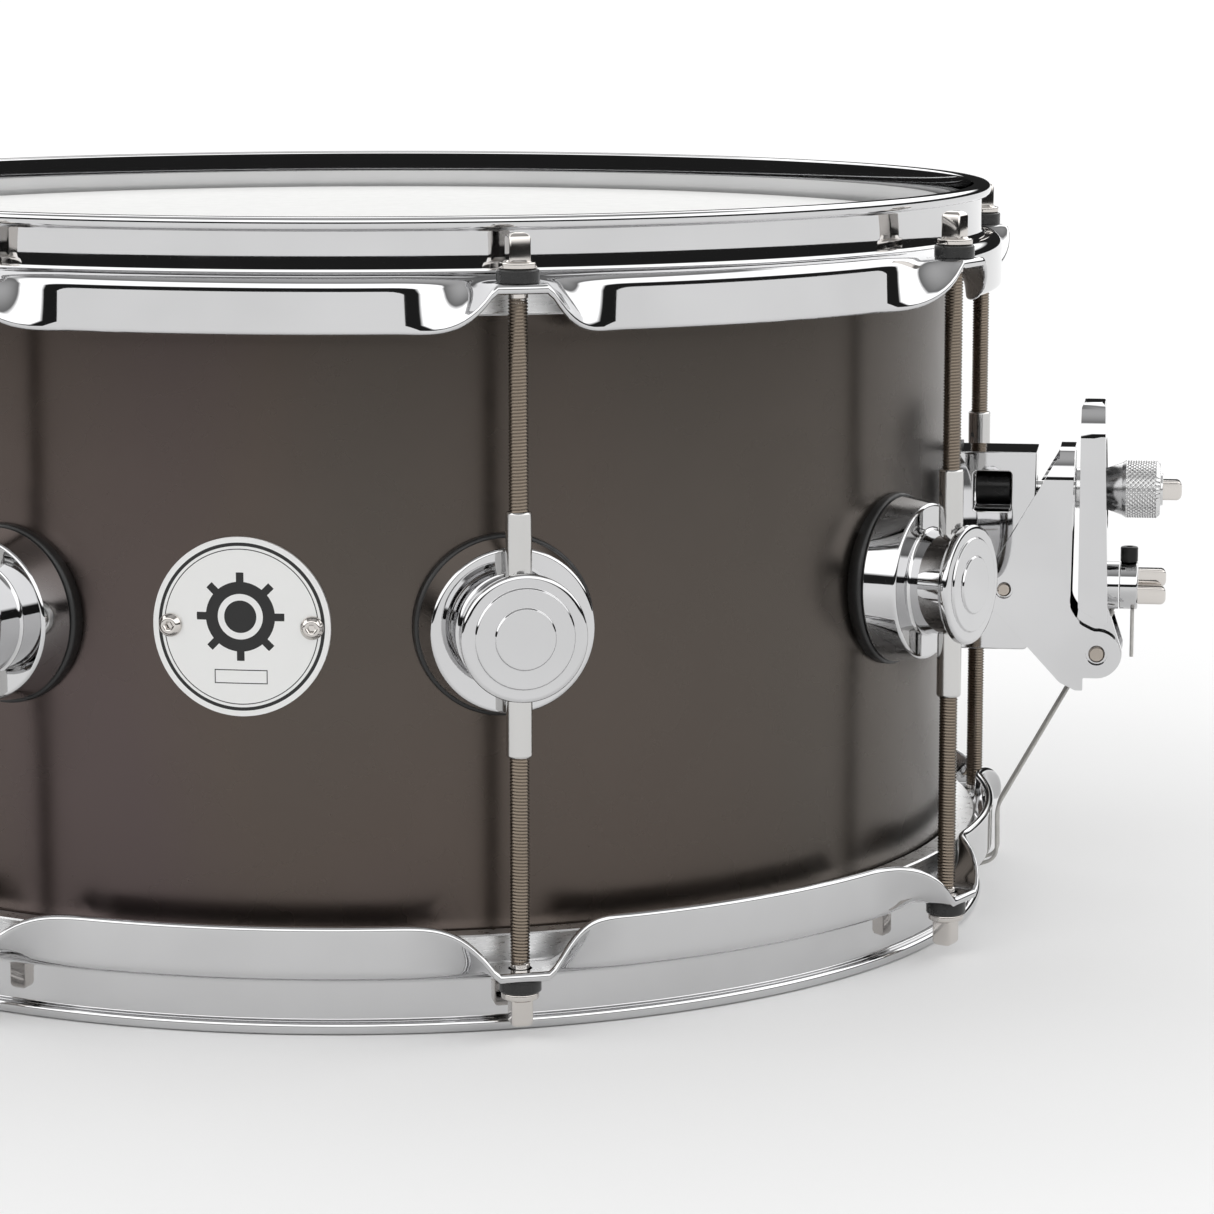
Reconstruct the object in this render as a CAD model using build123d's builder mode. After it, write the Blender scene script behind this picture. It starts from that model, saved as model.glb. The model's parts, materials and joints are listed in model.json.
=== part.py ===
"""Snare drum with a metal shell, eight tube lugs, triple flanged hoops and a lever throw-off.

The origin is on the drum's axis, in the plane of the snare-side rim. +Z points to the batter
head, the throw-off is at +X, the butt plate at -X and the badge at -Y. Sizes are millimetres.
"""

from build123d import *
from math import atan2, cos, degrees, radians, sin, sqrt, tan
import os

# Shell
shell_r = 163.5
shell_height = 177.8
shell_wall = 1.2
edge_bend_r = 3.0
edge_flange = 5.5

# Heads and their flesh hoops
rim_rise = 10.95
head_seat_gap = 0.02
collar_gap = 0.3
collar_drop = 9.0
batter_film = 0.25
snare_film = 0.25
flesh_width = 6.1
flesh_height = 7.6
flesh_fit = 0.05

# Counterhoops
hoop_steel = 2.4
flesh_overhang = 0.4
bead_out = 2.4
bead_height = 3.2
bead_round = 1.2
shelf_depth = 13.85
shelf_round = 3.0
lip_round = 1.2
lip_flare = 0.5
bore_depth = 10.0
skirt_gap = 2.9
skirt_depth = 27.85
ear_drop = 1.4
ear_steel = 2.5
ear_half_width = 8.5
ear_foot = 18.0
ear_margin = 5.6
ear_round = 3.0
window_top_half = 8.5
window_foot_half = 22.0
window_round = 5.0
gate_width = 46.0
gate_height = 8.0
gate_depth = 8.5
gate_round = 2.5

# Tension rods and their nylon washers
lug_count = 8
lug_start = 22.5
rod_r = 2.415
rod_play = 0.05
rod_reach = 12.0
ear_play = 0.6
washer_r = 5.2
washer_thick = 3.3
washer_tuck = 0.3
collar_r = 4.65
collar_thick = 1.7
key_side = 5.3
key_height = 6.9
key_chamfer = 0.9

# Lugs
tube_wall = 0.785
tube_half = 29.9
tube_fit = 0.05
lug_gasket_r = 22.5
lug_foot_r = 21.8
lug_ring_r = 20.2
lug_barrel_r = 13.5
lug_cap_r = 15.6
cap_step_r = (12.4, 7.5)
cap_step = 0.5
cap_thick = 2.8
gasket_thick = 2.0
ring_behind_tube = 2.6
cap_before_tube = 0.6

# Screws that hold the fittings, put in from inside the shell
screw_r = 2.4
screw_play = 0.1
screw_head_r = 4.4
screw_head = 2.8
screw_head_round = 1.2
screw_short = 0.5
screw_bite = 7.0
screw_washer_r = 5.5
screw_washer = 1.0

# Small rounds and chamfers, finest first
pin_chamfer = 0.3
edge_break = 0.4
edge_round = 0.5
cast_round = 0.8
plated_round = 1.0
plate_round = 1.5
pin_short = 0.2

# Badge and air vent
badge_r = 22.1
badge_thick = 1.0
badge_gap = 0.05
badge_screw_spacing = 35.2
badge_screw_r = 1.25
badge_head_r = 2.95
badge_head = 1.9
badge_nut_r = 2.9
badge_nut = 2.4
badge_socket_r = 0.9
vent_r = 5.0
vent_wall = 1.2
vent_flange_r = 9.0
vent_flange = 1.4

# Throw-off: out is the distance from the shell, up the height above the drum's mid-plane
base_half_width = 10.5
base_out = 22.9
base_top = 27.5
base_foot = 27.0
base_chamfer = 2.5
base_screw_up = 2.0
base_screw_down = -20.0
window_out = 11.0
window_length = 10.3
window_height = 10.9
window_corner = 1.0
cheek_half_gap = 11.0
cheek_thick = 2.5
frame_pin_out = 14.7
frame_pin_up = -10.1
frame_pin_r = 1.85
frame_pin_recess_r = 2.4
lever_pin_out = 40.2
lever_pin_up = -27.5
lever_pin_r = 2.2
lever_pin_recess_r = 2.9
lobe_r = 6.5
lobe_lead = 1.4
lobe_tuck = 0.2
pin_recess = 0.6
pin_play = 0.05
web_thick = 4.1
web_foot = 4.0
web_lean = 0.4
frame_front = 33.3
frame_front_foot = 32.7
frame_step_up = -14.5
frame_top = 29.0
frame_round = 9.0
fitting_outline = 100.0
cheek_nose = 3.9
heel_round = 3.0
step_round = 4.0
cheek_step = (34.6, -17.3)
cheek_toe = (36.5, -37.5)
cheek_toe_back = (34.5, -37.5)
cheek_heel = (30.2, -35.4)
cheek_back = (11.5, -15.05)
cheek_shoulder = (12.6, -1.7)
foot_web = ((26.0, -30.9), (30.3, -35.5), (31.8, -34.1), (27.5, -29.5))

# Fine adjuster
adjuster_up = 16.7
stud_r = 1.95
stud_slack = 1.1
nut_slack = 0.8
nut_r = 5.0
nut_seat_gap = 0.35
neck_r = 5.6
knob_cone_r = 7.7
knob_r = 7.9
knob_start = 46.1
knob_end = 56.5
knob_boss_r = 4.4
knob_boss = 0.7
knob_chamfer = 1.2
knob_key_end = 62.3
knob_shoulder_gap = 0.1
neck_length = 8.1

# Lever and its cord clamp
lever_gap = 1.6
lever_thick = 6.4
lever_taper = 1.8
lever_top = 41.0
lever_round = 9.0
lever_edge_round = 2.0
lever_foot_in = -14.8
lever_foot_out = -19.9
opening_half_width = 8.6
opening_foot = 6.0
opening_top = 30.5
opening_round = 6.0
lever_skin = 3.2
tongue_half_gap = 8.0
tongue_thick = 2.7
tongue_r = 6.8
tongue_top = -8.0
notch_half_width = 6.0
notch_top = -15.5
notch_height = 10.0
notch_round = 1.5
clamp_up = -10.1
clamp_r = 6.55
clamp_boss = 2.6
clamp_cap = 5.0
clamp_gap = 0.2
clamp_screw_r = 1.25
clamp_screw_across = 3.2
clamp_screw_rise = 2.0
clamp_key_side = 4.7
clamp_key = 7.6
clamp_key_chamfer = 0.6
set_screw_r = 2.4
set_screw_height = 4.2
set_screw_bite = 1.2
set_screw_gap = 0.1
set_socket_r = 1.1

# Butt plate
butt_half_width = 15.0
butt_half_height = 18.0
butt_out = 12.6
butt_round = 3.0
butt_clamp_half = 12.0
butt_clamp_height = 11.0
butt_clamp_up = -8.0
butt_clamp_thick = 3.0
butt_screw_across = 8.0
butt_screw_mount = 10.0

# Snare cord and wires
cord_r = 0.5
cord_half_spacing = 4.0
cord_clearance = 0.7
cord_plate_gap = 0.3
cord_gate_rise = 1.1
cord_shelf_drop = 1.3
cord_skirt_drop = 0.8
tail_length = 13.0
tail_inset = 1.4
wire_count = 20
wire_pitch = 2.1
wire_r = 0.8
wire_gap = 0.05
plate_half_length = 8.0
plate_half_width = 22.0
plate_thick = 1.0
plate_inset = 15.5
plate_hole_inset = 2.5

# Derived heights
total_height = shell_height + 2 * rim_rise
mid_z = total_height / 2
low_edge = rim_rise
high_edge = total_height - rim_rise

# Derived radii, from the shell outwards
tube_r = rod_r + tube_wall
shell_inner_r = shell_r - shell_wall
film_inner_r = shell_r + collar_gap
flesh_inner_r = film_inner_r + batter_film + flesh_fit
flesh_outer_r = flesh_inner_r + flesh_width
hoop_wall_r = flesh_outer_r - flesh_overhang
hoop_inner_r = hoop_wall_r - hoop_steel
bead_r = hoop_wall_r + bead_out
skirt_inner_r = flesh_outer_r + skirt_gap
skirt_r = skirt_inner_r + hoop_steel
rod_circle_r = skirt_r + washer_r - washer_tuck
ear_r = rod_circle_r + ear_margin
plate_centre = shell_r - plate_inset
ear_depth = shelf_depth + ear_drop
gasket_front_r = shell_r + gasket_thick
ring_front_r = rod_circle_r - tube_r - ring_behind_tube
cap_back_r = rod_circle_r + tube_r + cap_before_tube
washer_seat_r = sqrt(shell_inner_r**2 - screw_washer_r**2) - head_seat_gap
screw_seat_r = washer_seat_r - screw_washer

lug_angles = [lug_start + k * 360 / lug_count for k in range(lug_count)]
throw_angle, butt_angle, badge_angle, vent_angle = 0, 180, -90, 90


def radial_plane(angle, distance, up=0.0):
    """Plane that faces away from the drum's axis, with its own y axis upright."""
    out = Vector(cos(radians(angle)), sin(radians(angle)), 0)
    origin = out * distance + Vector(0, 0, mid_z + up)
    return Plane(origin=origin, x_dir=(-out.Y, out.X, 0), z_dir=out)


def side_plane(across):
    """Upright plane through the throw-off, at a distance to its side: x is out, y is up."""
    return Plane(origin=(shell_r, -across, mid_z), x_dir=(1, 0, 0), z_dir=(0, -1, 0))


def corner(sketch, x, y):
    """The sketch's corner nearest to a point of its own plane."""
    return sketch.vertices().sort_by_distance((x, y, 0))[0]


def save(piece, name):
    """Label a finished piece and write it."""
    piece.label = name
    export_step(piece, f"parts/{name}.step")


os.makedirs("parts", exist_ok=True)


# ---------------------------------------------------------------- shell
def edge_path(edge, inward):
    """Middle line's points from the shell's wall round one bearing edge to its flange."""
    bend = edge_bend_r - shell_wall / 2
    wall_r = shell_r - shell_wall / 2
    tip_z = edge - inward * (shell_wall / 2 + bend - bend * tan(radians(67.5)))
    run = (bend * tan(radians(67.5)) + edge_flange) / sqrt(2)
    return (wall_r, tip_z), (wall_r - run, tip_z - inward * run)


low_tip, low_end = edge_path(low_edge, -1)
high_tip, high_end = edge_path(high_edge, 1)

with BuildPart() as shell:
    with BuildSketch(Plane.XZ):
        with BuildLine():
            FilletPolyline(low_end, low_tip, high_tip, high_end, radius=edge_bend_r - shell_wall / 2)
            offset(amount=shell_wall / 2, side=Side.BOTH)
        make_face()
    revolve(axis=Axis.Z)
    for angle in lug_angles:
        with BuildSketch(radial_plane(angle, shell_inner_r - shell_wall)):
            Circle(screw_r + screw_play)
        extrude(amount=4 * shell_wall, mode=Mode.SUBTRACT)
    for angle, heights in (
        (throw_angle, (base_screw_up, base_screw_down)),
        (butt_angle, (butt_screw_mount, -butt_screw_mount)),
    ):
        with BuildSketch(radial_plane(angle, shell_inner_r - shell_wall)):
            with Locations(*[(0, height) for height in heights]):
                Circle(screw_r + screw_play)
        extrude(amount=4 * shell_wall, mode=Mode.SUBTRACT)
    badge_turn = degrees(atan2(badge_screw_spacing / 2, shell_r))
    for angle in (badge_angle - badge_turn, badge_angle + badge_turn):
        with BuildSketch(radial_plane(angle, shell_inner_r - shell_wall)):
            Circle(badge_screw_r + screw_play)
        extrude(amount=4 * shell_wall, mode=Mode.SUBTRACT)
    with BuildSketch(radial_plane(vent_angle, shell_inner_r - shell_wall)):
        Circle(vent_r + vent_wall + screw_play)
    extrude(amount=4 * shell_wall, mode=Mode.SUBTRACT)
save(shell.part, "shell")


# ---------------------------------------------------------------- heads
def head(film):
    """Film that lies on the upper bearing edge and turns down round the shell into its flesh hoop."""
    inner_z = high_edge + head_seat_gap
    outer_z = inner_z + film
    end_z = high_edge - collar_drop
    outer_r = film_inner_r + film
    bend = edge_bend_r + collar_gap
    with BuildPart() as piece:
        with BuildSketch(Plane.XZ) as section:
            with BuildLine():
                Polyline(
                    (0, inner_z),
                    (film_inner_r, inner_z),
                    (film_inner_r, end_z),
                    (outer_r, end_z),
                    (outer_r, outer_z),
                    (0, outer_z),
                    close=True,
                )
            make_face()
            fillet(corner(section, film_inner_r, inner_z), bend)
            fillet(corner(section, outer_r, outer_z), bend + film)
        revolve(axis=Axis.Z)
    return piece


batter_head = head(batter_film)
save(batter_head.part, "batter_head")
with BuildPart() as snare_head:
    add(mirror(head(snare_film).part, about=Plane.XY.offset(mid_z)))
save(snare_head.part, "snare_head")


def flesh_hoop(hoop_depth_z, inward):
    """Aluminium ring that the head's film is crimped into, under the counterhoop's lip."""
    start_z = min(hoop_depth_z, hoop_depth_z + inward * flesh_height)
    with BuildPart() as piece:
        with BuildSketch(Plane.XY.offset(start_z)):
            Circle(flesh_outer_r)
            Circle(flesh_inner_r, mode=Mode.SUBTRACT)
        extrude(amount=flesh_height)
        chamfer(piece.edges().filter_by(GeomType.CIRCLE), edge_break)
    return piece


lip_depth = shelf_depth + hoop_steel
batter_flesh_hoop = flesh_hoop(total_height - lip_depth, -1)
save(batter_flesh_hoop.part, "batter_flesh_hoop")
snare_flesh_hoop = flesh_hoop(lip_depth, 1)
save(snare_flesh_hoop.part, "snare_flesh_hoop")


# ---------------------------------------------------------------- counterhoops
with BuildPart() as hoop:
    with BuildSketch(Plane.XZ) as hoop_section:
        with BuildLine():
            Polyline(
                (hoop_inner_r, 0),
                (bead_r, 0),
                (bead_r, bead_height),
                (hoop_wall_r, bead_height),
                (hoop_wall_r, shelf_depth),
                (skirt_r, shelf_depth),
                (skirt_r, skirt_depth),
                (skirt_inner_r, skirt_depth),
                (skirt_inner_r, lip_depth),
                (hoop_inner_r + lip_flare, lip_depth),
                (hoop_inner_r, bore_depth),
                close=True,
            )
        make_face()
        fillet(corner(hoop_section, hoop_inner_r, 0), bead_round / 2)
        fillet(corner(hoop_section, bead_r, 0), bead_round)
        fillet(corner(hoop_section, bead_r, bead_height), bead_round)
        fillet(corner(hoop_section, skirt_r, shelf_depth), shelf_round)
        fillet(corner(hoop_section, hoop_inner_r + lip_flare, lip_depth), lip_round)
        fillet(corner(hoop_section, hoop_wall_r, shelf_depth), lip_round)
    revolve(axis=Axis.Z)
    with BuildSketch(Plane.XY.offset(ear_depth)) as ears:
        with PolarLocations(0, lug_count, start_angle=lug_start):
            Polygon(
                (flesh_outer_r + skirt_gap / 3, -ear_foot),
                (skirt_inner_r, -ear_foot),
                (ear_r, -ear_half_width),
                (ear_r, ear_half_width),
                (skirt_inner_r, ear_foot),
                (flesh_outer_r + skirt_gap / 3, ear_foot),
                align=None,
            )
        tips = [v for v in ears.vertices() if Vector(v.X, v.Y, 0).length > ear_r]
        fillet(tips, ear_round)
        with PolarLocations(rod_circle_r, lug_count, start_angle=lug_start):
            Circle(rod_r + ear_play, mode=Mode.SUBTRACT)
    extrude(amount=ear_steel)
    for angle in lug_angles:
        with BuildSketch(radial_plane(angle, flesh_inner_r, -mid_z)) as arch:
            with BuildLine():
                Polyline(
                    (-window_foot_half, skirt_depth + 1),
                    (-window_top_half, ear_depth + ear_steel),
                    (window_top_half, ear_depth + ear_steel),
                    (window_foot_half, skirt_depth + 1),
                    close=True,
                )
            make_face()
            fillet(corner(arch, -window_top_half, ear_depth + ear_steel), window_round)
            fillet(corner(arch, window_top_half, ear_depth + ear_steel), window_round)
        extrude(amount=skirt_r - flesh_inner_r + 1, mode=Mode.SUBTRACT)

with BuildPart() as batter_hoop:
    add(mirror(hoop.part, about=Plane.XY.offset(mid_z)))
save(batter_hoop.part, "batter_hoop")

with BuildPart() as snare_hoop:
    add(hoop.part)
    with BuildSketch(Plane.YZ):
        with Locations((0, gate_depth)):
            RectangleRounded(gate_width, gate_height, gate_round)
    extrude(amount=bead_r, both=True, mode=Mode.SUBTRACT)
save(snare_hoop.part, "snare_hoop")


# ---------------------------------------------------------------- lugs
def around(piece):
    """The same piece at every lug, as one group of separate solids."""
    with BuildPart() as group:
        with PolarLocations(0, lug_count):
            add(piece.part.rotate(Axis.Z, lug_start))
    return group


lug_axis = Axis((0, 0, mid_z), (1, 0, 0))
lug_section_plane = Plane(origin=(0, 0, mid_z), x_dir=(1, 0, 0), z_dir=(0, -1, 0))

with BuildPart() as lug_gasket:
    with BuildSketch(radial_plane(0, shell_inner_r - gasket_thick)):
        Circle(lug_gasket_r)
        Circle(screw_r + screw_play, mode=Mode.SUBTRACT)
    extrude(amount=gasket_front_r - shell_inner_r + gasket_thick)
    with BuildSketch(Plane.XY.offset(mid_z - lug_gasket_r - 1)):
        Circle(shell_r + badge_gap)
    extrude(amount=2 * lug_gasket_r + 2, mode=Mode.SUBTRACT)
lug_gaskets = around(lug_gasket)
save(lug_gaskets.part, "lug_gaskets")

with BuildPart() as lug_base:
    with BuildSketch(lug_section_plane) as lug_section:
        with BuildLine():
            Polyline(
                (gasket_front_r, 0),
                (gasket_front_r, lug_foot_r),
                (ring_front_r, lug_ring_r),
                (ring_front_r, lug_barrel_r),
                (cap_back_r, lug_barrel_r),
                (cap_back_r, 0),
                close=True,
            )
        make_face()
        fillet(corner(lug_section, ring_front_r, lug_ring_r), plated_round)
        fillet(corner(lug_section, gasket_front_r, lug_foot_r), cast_round)
        fillet(corner(lug_section, ring_front_r, lug_barrel_r), cast_round)
    revolve(axis=lug_axis)
    with BuildSketch(Plane.XY.offset(mid_z - lug_foot_r)):
        with Locations((rod_circle_r, 0)):
            Circle(tube_r + tube_fit)
    extrude(amount=2 * lug_foot_r, mode=Mode.SUBTRACT)
    with BuildSketch(radial_plane(0, gasket_front_r)):
        Circle(screw_r + screw_play)
    extrude(amount=screw_bite, mode=Mode.SUBTRACT)
lug_bases = around(lug_base)
save(lug_bases.part, "lug_bases")

with BuildPart() as lug_cap:
    with BuildSketch(lug_section_plane) as cap_section:
        cap_front_r = cap_back_r + cap_thick
        with BuildLine():
            Polyline(
                (cap_back_r, 0),
                (cap_back_r, lug_cap_r),
                (cap_front_r, lug_cap_r),
                (cap_front_r, cap_step_r[0]),
                (cap_front_r + cap_step, cap_step_r[0]),
                (cap_front_r + cap_step, cap_step_r[1]),
                (cap_front_r + 2 * cap_step, cap_step_r[1]),
                (cap_front_r + 2 * cap_step, 0),
                close=True,
            )
        make_face()
        fillet(corner(cap_section, cap_front_r, lug_cap_r), plated_round)
    revolve(axis=lug_axis)
lug_caps = around(lug_cap)
save(lug_caps.part, "lug_caps")

with BuildPart() as lug_tube:
    with BuildSketch(Plane.XY.offset(mid_z - tube_half)):
        with Locations((rod_circle_r, 0)):
            Circle(tube_r)
            Circle(rod_r + rod_play, mode=Mode.SUBTRACT)
    extrude(amount=2 * tube_half)
lug_tubes = around(lug_tube)
save(lug_tubes.part, "lug_tubes")


def mounting_screw(angle, up):
    """Round-headed screw from inside the shell into a fitting."""
    with BuildPart() as piece:
        with BuildSketch(radial_plane(angle, screw_seat_r - screw_head, up)):
            Circle(screw_head_r)
        extrude(amount=screw_head)
        outward = Axis((0, 0, 0), radial_plane(angle, 0).z_dir)
        fillet(piece.edges().sort_by(outward)[0], screw_head_round)
        with BuildSketch(radial_plane(angle, screw_seat_r, up)):
            Circle(screw_r)
        extrude(amount=gasket_front_r + screw_bite - screw_short - screw_seat_r)
    return piece


def mounting_washer(angle, up):
    """Flat washer between a mounting screw's head and the shell."""
    with BuildPart() as piece:
        with BuildSketch(radial_plane(angle, screw_seat_r, up)):
            Circle(screw_washer_r)
            Circle(screw_r + screw_play, mode=Mode.SUBTRACT)
        extrude(amount=screw_washer)
    return piece


lug_screws = around(mounting_screw(0, 0))
save(lug_screws.part, "lug_screws")
lug_washers = around(mounting_washer(0, 0))
save(lug_washers.part, "lug_washers")

fitting_screw_places = [
    (throw_angle, base_screw_up),
    (throw_angle, base_screw_down),
    (butt_angle, butt_screw_mount),
    (butt_angle, -butt_screw_mount),
]
with BuildPart() as fitting_screws:
    for angle, up in fitting_screw_places:
        add(mounting_screw(angle, up).part)
save(fitting_screws.part, "fitting_screws")

with BuildPart() as fitting_washers:
    for angle, up in fitting_screw_places:
        add(mounting_washer(angle, up).part)
save(fitting_washers.part, "fitting_washers")

# ---------------------------------------------------------------- tension rods
batter_ear_top = total_height - ear_depth
rod_shoulder = batter_ear_top + washer_thick

with BuildPart() as nylon_washer:
    with BuildSketch(Plane.XY.offset(batter_ear_top)):
        with Locations((rod_circle_r, 0)):
            Circle(washer_r)
            Circle(rod_r + rod_play, mode=Mode.SUBTRACT)
    extrude(amount=washer_thick)
batter_washers = around(nylon_washer)
save(batter_washers.part, "batter_washers")
with BuildPart() as snare_washers:
    add(mirror(batter_washers.part, about=Plane.XY.offset(mid_z)))
save(snare_washers.part, "snare_washers")

with BuildPart() as rod:
    rod_foot = mid_z + tube_half - rod_reach
    with BuildSketch(Plane.XY.offset(rod_foot)):
        with Locations((rod_circle_r, 0)):
            Circle(rod_r)
    extrude(amount=rod_shoulder - rod_foot)
    chamfer(rod.edges().group_by(Axis.Z)[0], clamp_key_chamfer)
    with BuildSketch(Plane.XY.offset(rod_shoulder + rod_play)):
        with Locations((rod_circle_r, 0)):
            Circle(collar_r)
    extrude(amount=collar_thick)
    with BuildSketch(Plane.XY.offset(rod_shoulder)):
        with Locations((rod_circle_r, 0)):
            Circle(rod_r)
    extrude(amount=rod_play)
    with BuildSketch(Plane.XY.offset(rod_shoulder + rod_play + collar_thick)):
        with Locations((rod_circle_r, 0)):
            Rectangle(key_side, key_side)
    extrude(amount=key_height)
    chamfer(rod.faces().sort_by(Axis.Z)[-1].edges(), key_chamfer)

for number, angle in enumerate(lug_angles, start=1):
    with BuildPart() as batter_rod:
        add(rod.part.rotate(Axis.Z, angle))
    save(batter_rod.part, f"batter_rod_{number}")
    with BuildPart() as snare_rod:
        add(mirror(rod.part.rotate(Axis.Z, angle), about=Plane.XY.offset(mid_z)))
    save(snare_rod.part, f"snare_rod_{number}")

# ---------------------------------------------------------------- badge and vent
with BuildPart() as badge:
    with BuildSketch(radial_plane(badge_angle, shell_inner_r)):
        Circle(badge_r)
    extrude(amount=gasket_thick + shell_wall + badge_thick)
    with BuildSketch(Plane.XY.offset(mid_z - badge_r - 1)):
        Circle(shell_r + badge_gap + badge_thick)
    extrude(amount=2 * badge_r + 2, mode=Mode.INTERSECT)
    with BuildSketch(Plane.XY.offset(mid_z - badge_r - 1)):
        Circle(shell_r + badge_gap)
    extrude(amount=2 * badge_r + 2, mode=Mode.SUBTRACT)
    for angle in (badge_angle - badge_turn, badge_angle + badge_turn):
        with BuildSketch(radial_plane(angle, shell_inner_r)):
            Circle(badge_screw_r + screw_play)
        extrude(amount=gasket_thick + shell_wall + badge_thick, mode=Mode.SUBTRACT)
save(badge.part, "badge")

badge_front_r = shell_r + badge_gap + badge_thick
with BuildPart() as badge_screws:
    for angle in (badge_angle - badge_turn, badge_angle + badge_turn):
        with BuildSketch(radial_plane(angle, shell_inner_r - badge_nut - 1)):
            Circle(badge_screw_r)
        extrude(amount=badge_front_r - shell_inner_r + badge_nut + 1)
        with BuildSketch(radial_plane(angle, badge_front_r)):
            Circle(badge_head_r)
        extrude(amount=badge_head, taper=18)
        with BuildSketch(radial_plane(angle, badge_front_r + badge_head)):
            RegularPolygon(badge_socket_r, 6)
        extrude(amount=-badge_head / 2, mode=Mode.SUBTRACT)
save(badge_screws.part, "badge_screws")

badge_nut_seat = sqrt(shell_inner_r**2 - badge_nut_r**2) - head_seat_gap
with BuildPart() as badge_nuts:
    for angle in (badge_angle - badge_turn, badge_angle + badge_turn):
        with BuildSketch(radial_plane(angle, badge_nut_seat)):
            RegularPolygon(badge_nut_r, 6)
            Circle(badge_screw_r + head_seat_gap, mode=Mode.SUBTRACT)
        extrude(amount=-badge_nut)
save(badge_nuts.part, "badge_nuts")

with BuildPart() as vent_grommet:
    with BuildSketch(radial_plane(vent_angle, shell_inner_r - vent_flange)):
        Circle(vent_r + vent_wall)
        Circle(vent_r, mode=Mode.SUBTRACT)
    extrude(amount=shell_wall + 2 * vent_flange)
    with BuildSketch(radial_plane(vent_angle, shell_r + badge_gap)):
        Circle(vent_flange_r)
        Circle(vent_r, mode=Mode.SUBTRACT)
    extrude(amount=vent_flange)
    fillet(vent_grommet.edges().filter_by(GeomType.CIRCLE).sort_by(Axis.Y)[-2:], edge_round)
save(vent_grommet.part, "vent_grommet")

# ---------------------------------------------------------------- throw-off base
with BuildPart() as strainer_gasket:
    with BuildSketch(radial_plane(throw_angle, shell_inner_r - gasket_thick)):
        with Locations((0, (base_top - base_foot) / 2)):
            RectangleRounded(2 * base_half_width + 2, base_top + base_foot + 2, 2)
        with Locations((0, base_screw_up), (0, base_screw_down)):
            Circle(screw_r + screw_play, mode=Mode.SUBTRACT)
    extrude(amount=gasket_front_r - shell_inner_r + gasket_thick)
    with BuildSketch(Plane.XY.offset(mid_z - base_foot - 3)):
        Circle(shell_r + badge_gap)
    extrude(amount=base_top + base_foot + 6, mode=Mode.SUBTRACT)
save(strainer_gasket.part, "strainer_gasket")

with BuildPart() as strainer_base:
    with BuildSketch(side_plane(0)):
        with BuildLine():
            Polyline(
                (gasket_thick, -base_foot),
                (base_out - base_chamfer, -base_foot),
                (base_out, -base_foot + base_chamfer),
                (base_out, base_top),
                (gasket_thick, base_top),
                close=True,
            )
        make_face()
    extrude(amount=base_half_width, both=True)
    with BuildSketch(side_plane(0)):
        with Locations((window_out, adjuster_up)):
            RectangleRounded(window_length, window_height, window_corner)
    extrude(amount=base_half_width, both=True, mode=Mode.SUBTRACT)
    with BuildSketch(side_plane(0)):
        with Locations((frame_pin_out, frame_pin_up)):
            Circle(frame_pin_r + pin_play)
    extrude(amount=base_half_width, both=True, mode=Mode.SUBTRACT)
    with BuildSketch(radial_plane(throw_angle, shell_r + window_out, adjuster_up)):
        Circle(stud_r + stud_slack)
    extrude(amount=base_out, mode=Mode.SUBTRACT)
    with BuildSketch(radial_plane(throw_angle, gasket_front_r)):
        with Locations((0, base_screw_up), (0, base_screw_down)):
            Circle(screw_r + screw_play)
    extrude(amount=screw_bite, mode=Mode.SUBTRACT)
save(strainer_base.part, "strainer_base")

nut_start = window_out - window_length / 2 + nut_seat_gap
with BuildPart() as adjuster_nut:
    with BuildSketch(radial_plane(throw_angle, shell_r + nut_start, adjuster_up)):
        Circle(nut_r)
        Circle(stud_r + nut_slack, mode=Mode.SUBTRACT)
    extrude(amount=window_length - 2 * nut_seat_gap)
save(adjuster_nut.part, "adjuster_nut")

# ---------------------------------------------------------------- throw-off frame
cheek_outer = cheek_half_gap + cheek_thick

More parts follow.
